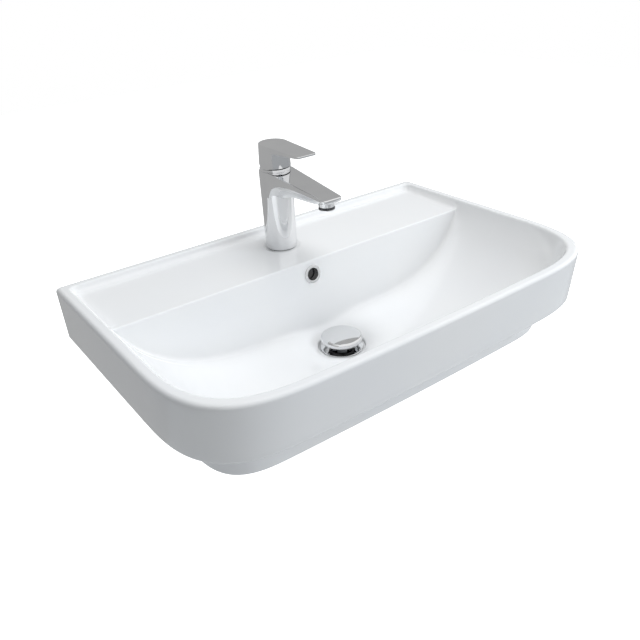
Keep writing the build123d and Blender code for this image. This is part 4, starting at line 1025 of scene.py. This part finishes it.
def add_world():
    """White background, also in metal and glass, and soft light that is stronger from the right."""
    world = bpy.data.worlds.new("studio")
    world.use_nodes = True
    tree = world.node_tree
    tree.nodes.clear()
    out = tree.nodes.new("ShaderNodeOutputWorld")
    mix = tree.nodes.new("ShaderNodeMixShader")
    soft = tree.nodes.new("ShaderNodeBackground")
    soft.inputs["Color"].default_value = (0.93, 0.965, 1.0, 1)
    way = tree.nodes.new("ShaderNodeSeparateXYZ")
    tree.links.new(tree.nodes.new("ShaderNodeTexCoord").outputs["Generated"], way.inputs[0])
    tree.links.new(ramp(tree, way.outputs["X"], -0.8, 0.8, SOFT_LEFT, SOFT_RIGHT), soft.inputs["Strength"])
    white = tree.nodes.new("ShaderNodeBackground")
    rays = tree.nodes.new("ShaderNodeLightPath")
    seen = sums(tree, "MAXIMUM", rays.outputs["Is Camera Ray"], rays.outputs["Is Transmission Ray"])
    tree.links.new(sums(tree, "MAXIMUM", seen, rays.outputs["Is Glossy Ray"]), mix.inputs["Fac"])
    white.inputs["Color"].default_value = (1, 1, 1, 1)
    white.inputs["Strength"].default_value = 1.0
    tree.links.new(soft.outputs[0], mix.inputs[1])
    tree.links.new(white.outputs[0], mix.inputs[2])
    tree.links.new(mix.outputs[0], out.inputs["Surface"])
    bpy.context.scene.world = world


def add_floor():
    """Pale floor under the basin, white to the camera, which keeps the basin's shadow."""
    far = 6.0
    low = -0.755
    mesh = bpy.data.meshes.new("floor")
    corners = [(-far, -far, low), (far, -far, low), (far, far, low), (-far, far, low)]
    mesh.from_pydata(corners, [], [(0, 1, 2, 3)])
    floor = bpy.data.objects.new("floor", mesh)
    bpy.context.scene.collection.objects.link(floor)
    made, tree, shader, coords = material("pale_floor")
    shader.inputs["Base Color"].default_value = (0.9, 0.9, 0.9, 1)
    shader.inputs["Roughness"].default_value = 0.9
    shader.inputs["Emission Color"].default_value = (1, 1, 1, 1)
    rays = tree.nodes.new("ShaderNodeLightPath")
    tree.links.new(rays.outputs["Is Camera Ray"], shader.inputs["Emission Strength"])
    floor.data.materials.append(made)


bpy.context.scene.view_settings.view_transform = "Standard"
add_camera()
add_world()
add_floor()
add_lamp("top", (0.3, -0.25, 1.6), (0, -0.2, 0), (1.6, 1.2), 16.0)
add_lamp("front_right", (1.5, -1.6, 0.9), (0, -0.2, 0), (1.0, 1.2), 15.0, (0.91, 0.955, 1.0))
behind = [(-2.5, 0.45, -1.2), (2.5, 0.45, -1.2), (2.5, 0.45, 2.6), (-2.5, 0.45, 2.6)]
add_card("back_card", behind, CARD_GREY)
beside = [(-1.4, -1.2, -0.75), (-1.4, 0.45, -0.75), (-1.4, 0.45, 2.0), (-1.4, -1.2, 2.0)]
add_card("left_card", beside, CARD_GREY)

dress_nodes()
basin = make_mesh("basin_glazed", basin_grids())
bored(basin, [bolt_hole(-BOLT_X), bolt_hole(BOLT_X)])
# Paints shade into the overflow passage through the mesh's 'passage' attribute
paint_shade_in_passage(basin)
place(basin, GLAZE, "basin_and_fittings", "glazed_ceramic", "basin")

tap = make_mesh("tap_body_cast", [lifted(column_grid()), lifted(spout_grid())], 40)
place(tap, CHROME, "basin_and_fittings", "chrome", "tap_body")
collar = make_mesh("aerator_collar", [lifted(collar_grid())], 40)
place(collar, CHROME, "basin_and_fittings", "chrome", "aerator_housing")
band = make_mesh("aerator_band", [lifted(band_grid())], 40)
place(band, DARK_PLASTIC, "basin_and_fittings", "aerator_plastic")
outlet = make_mesh("aerator_face", [lifted(outlet_grid())], 40)
place(outlet, DARK_PLASTIC, "basin_and_fittings", "aerator_plastic", "aerator_insert")
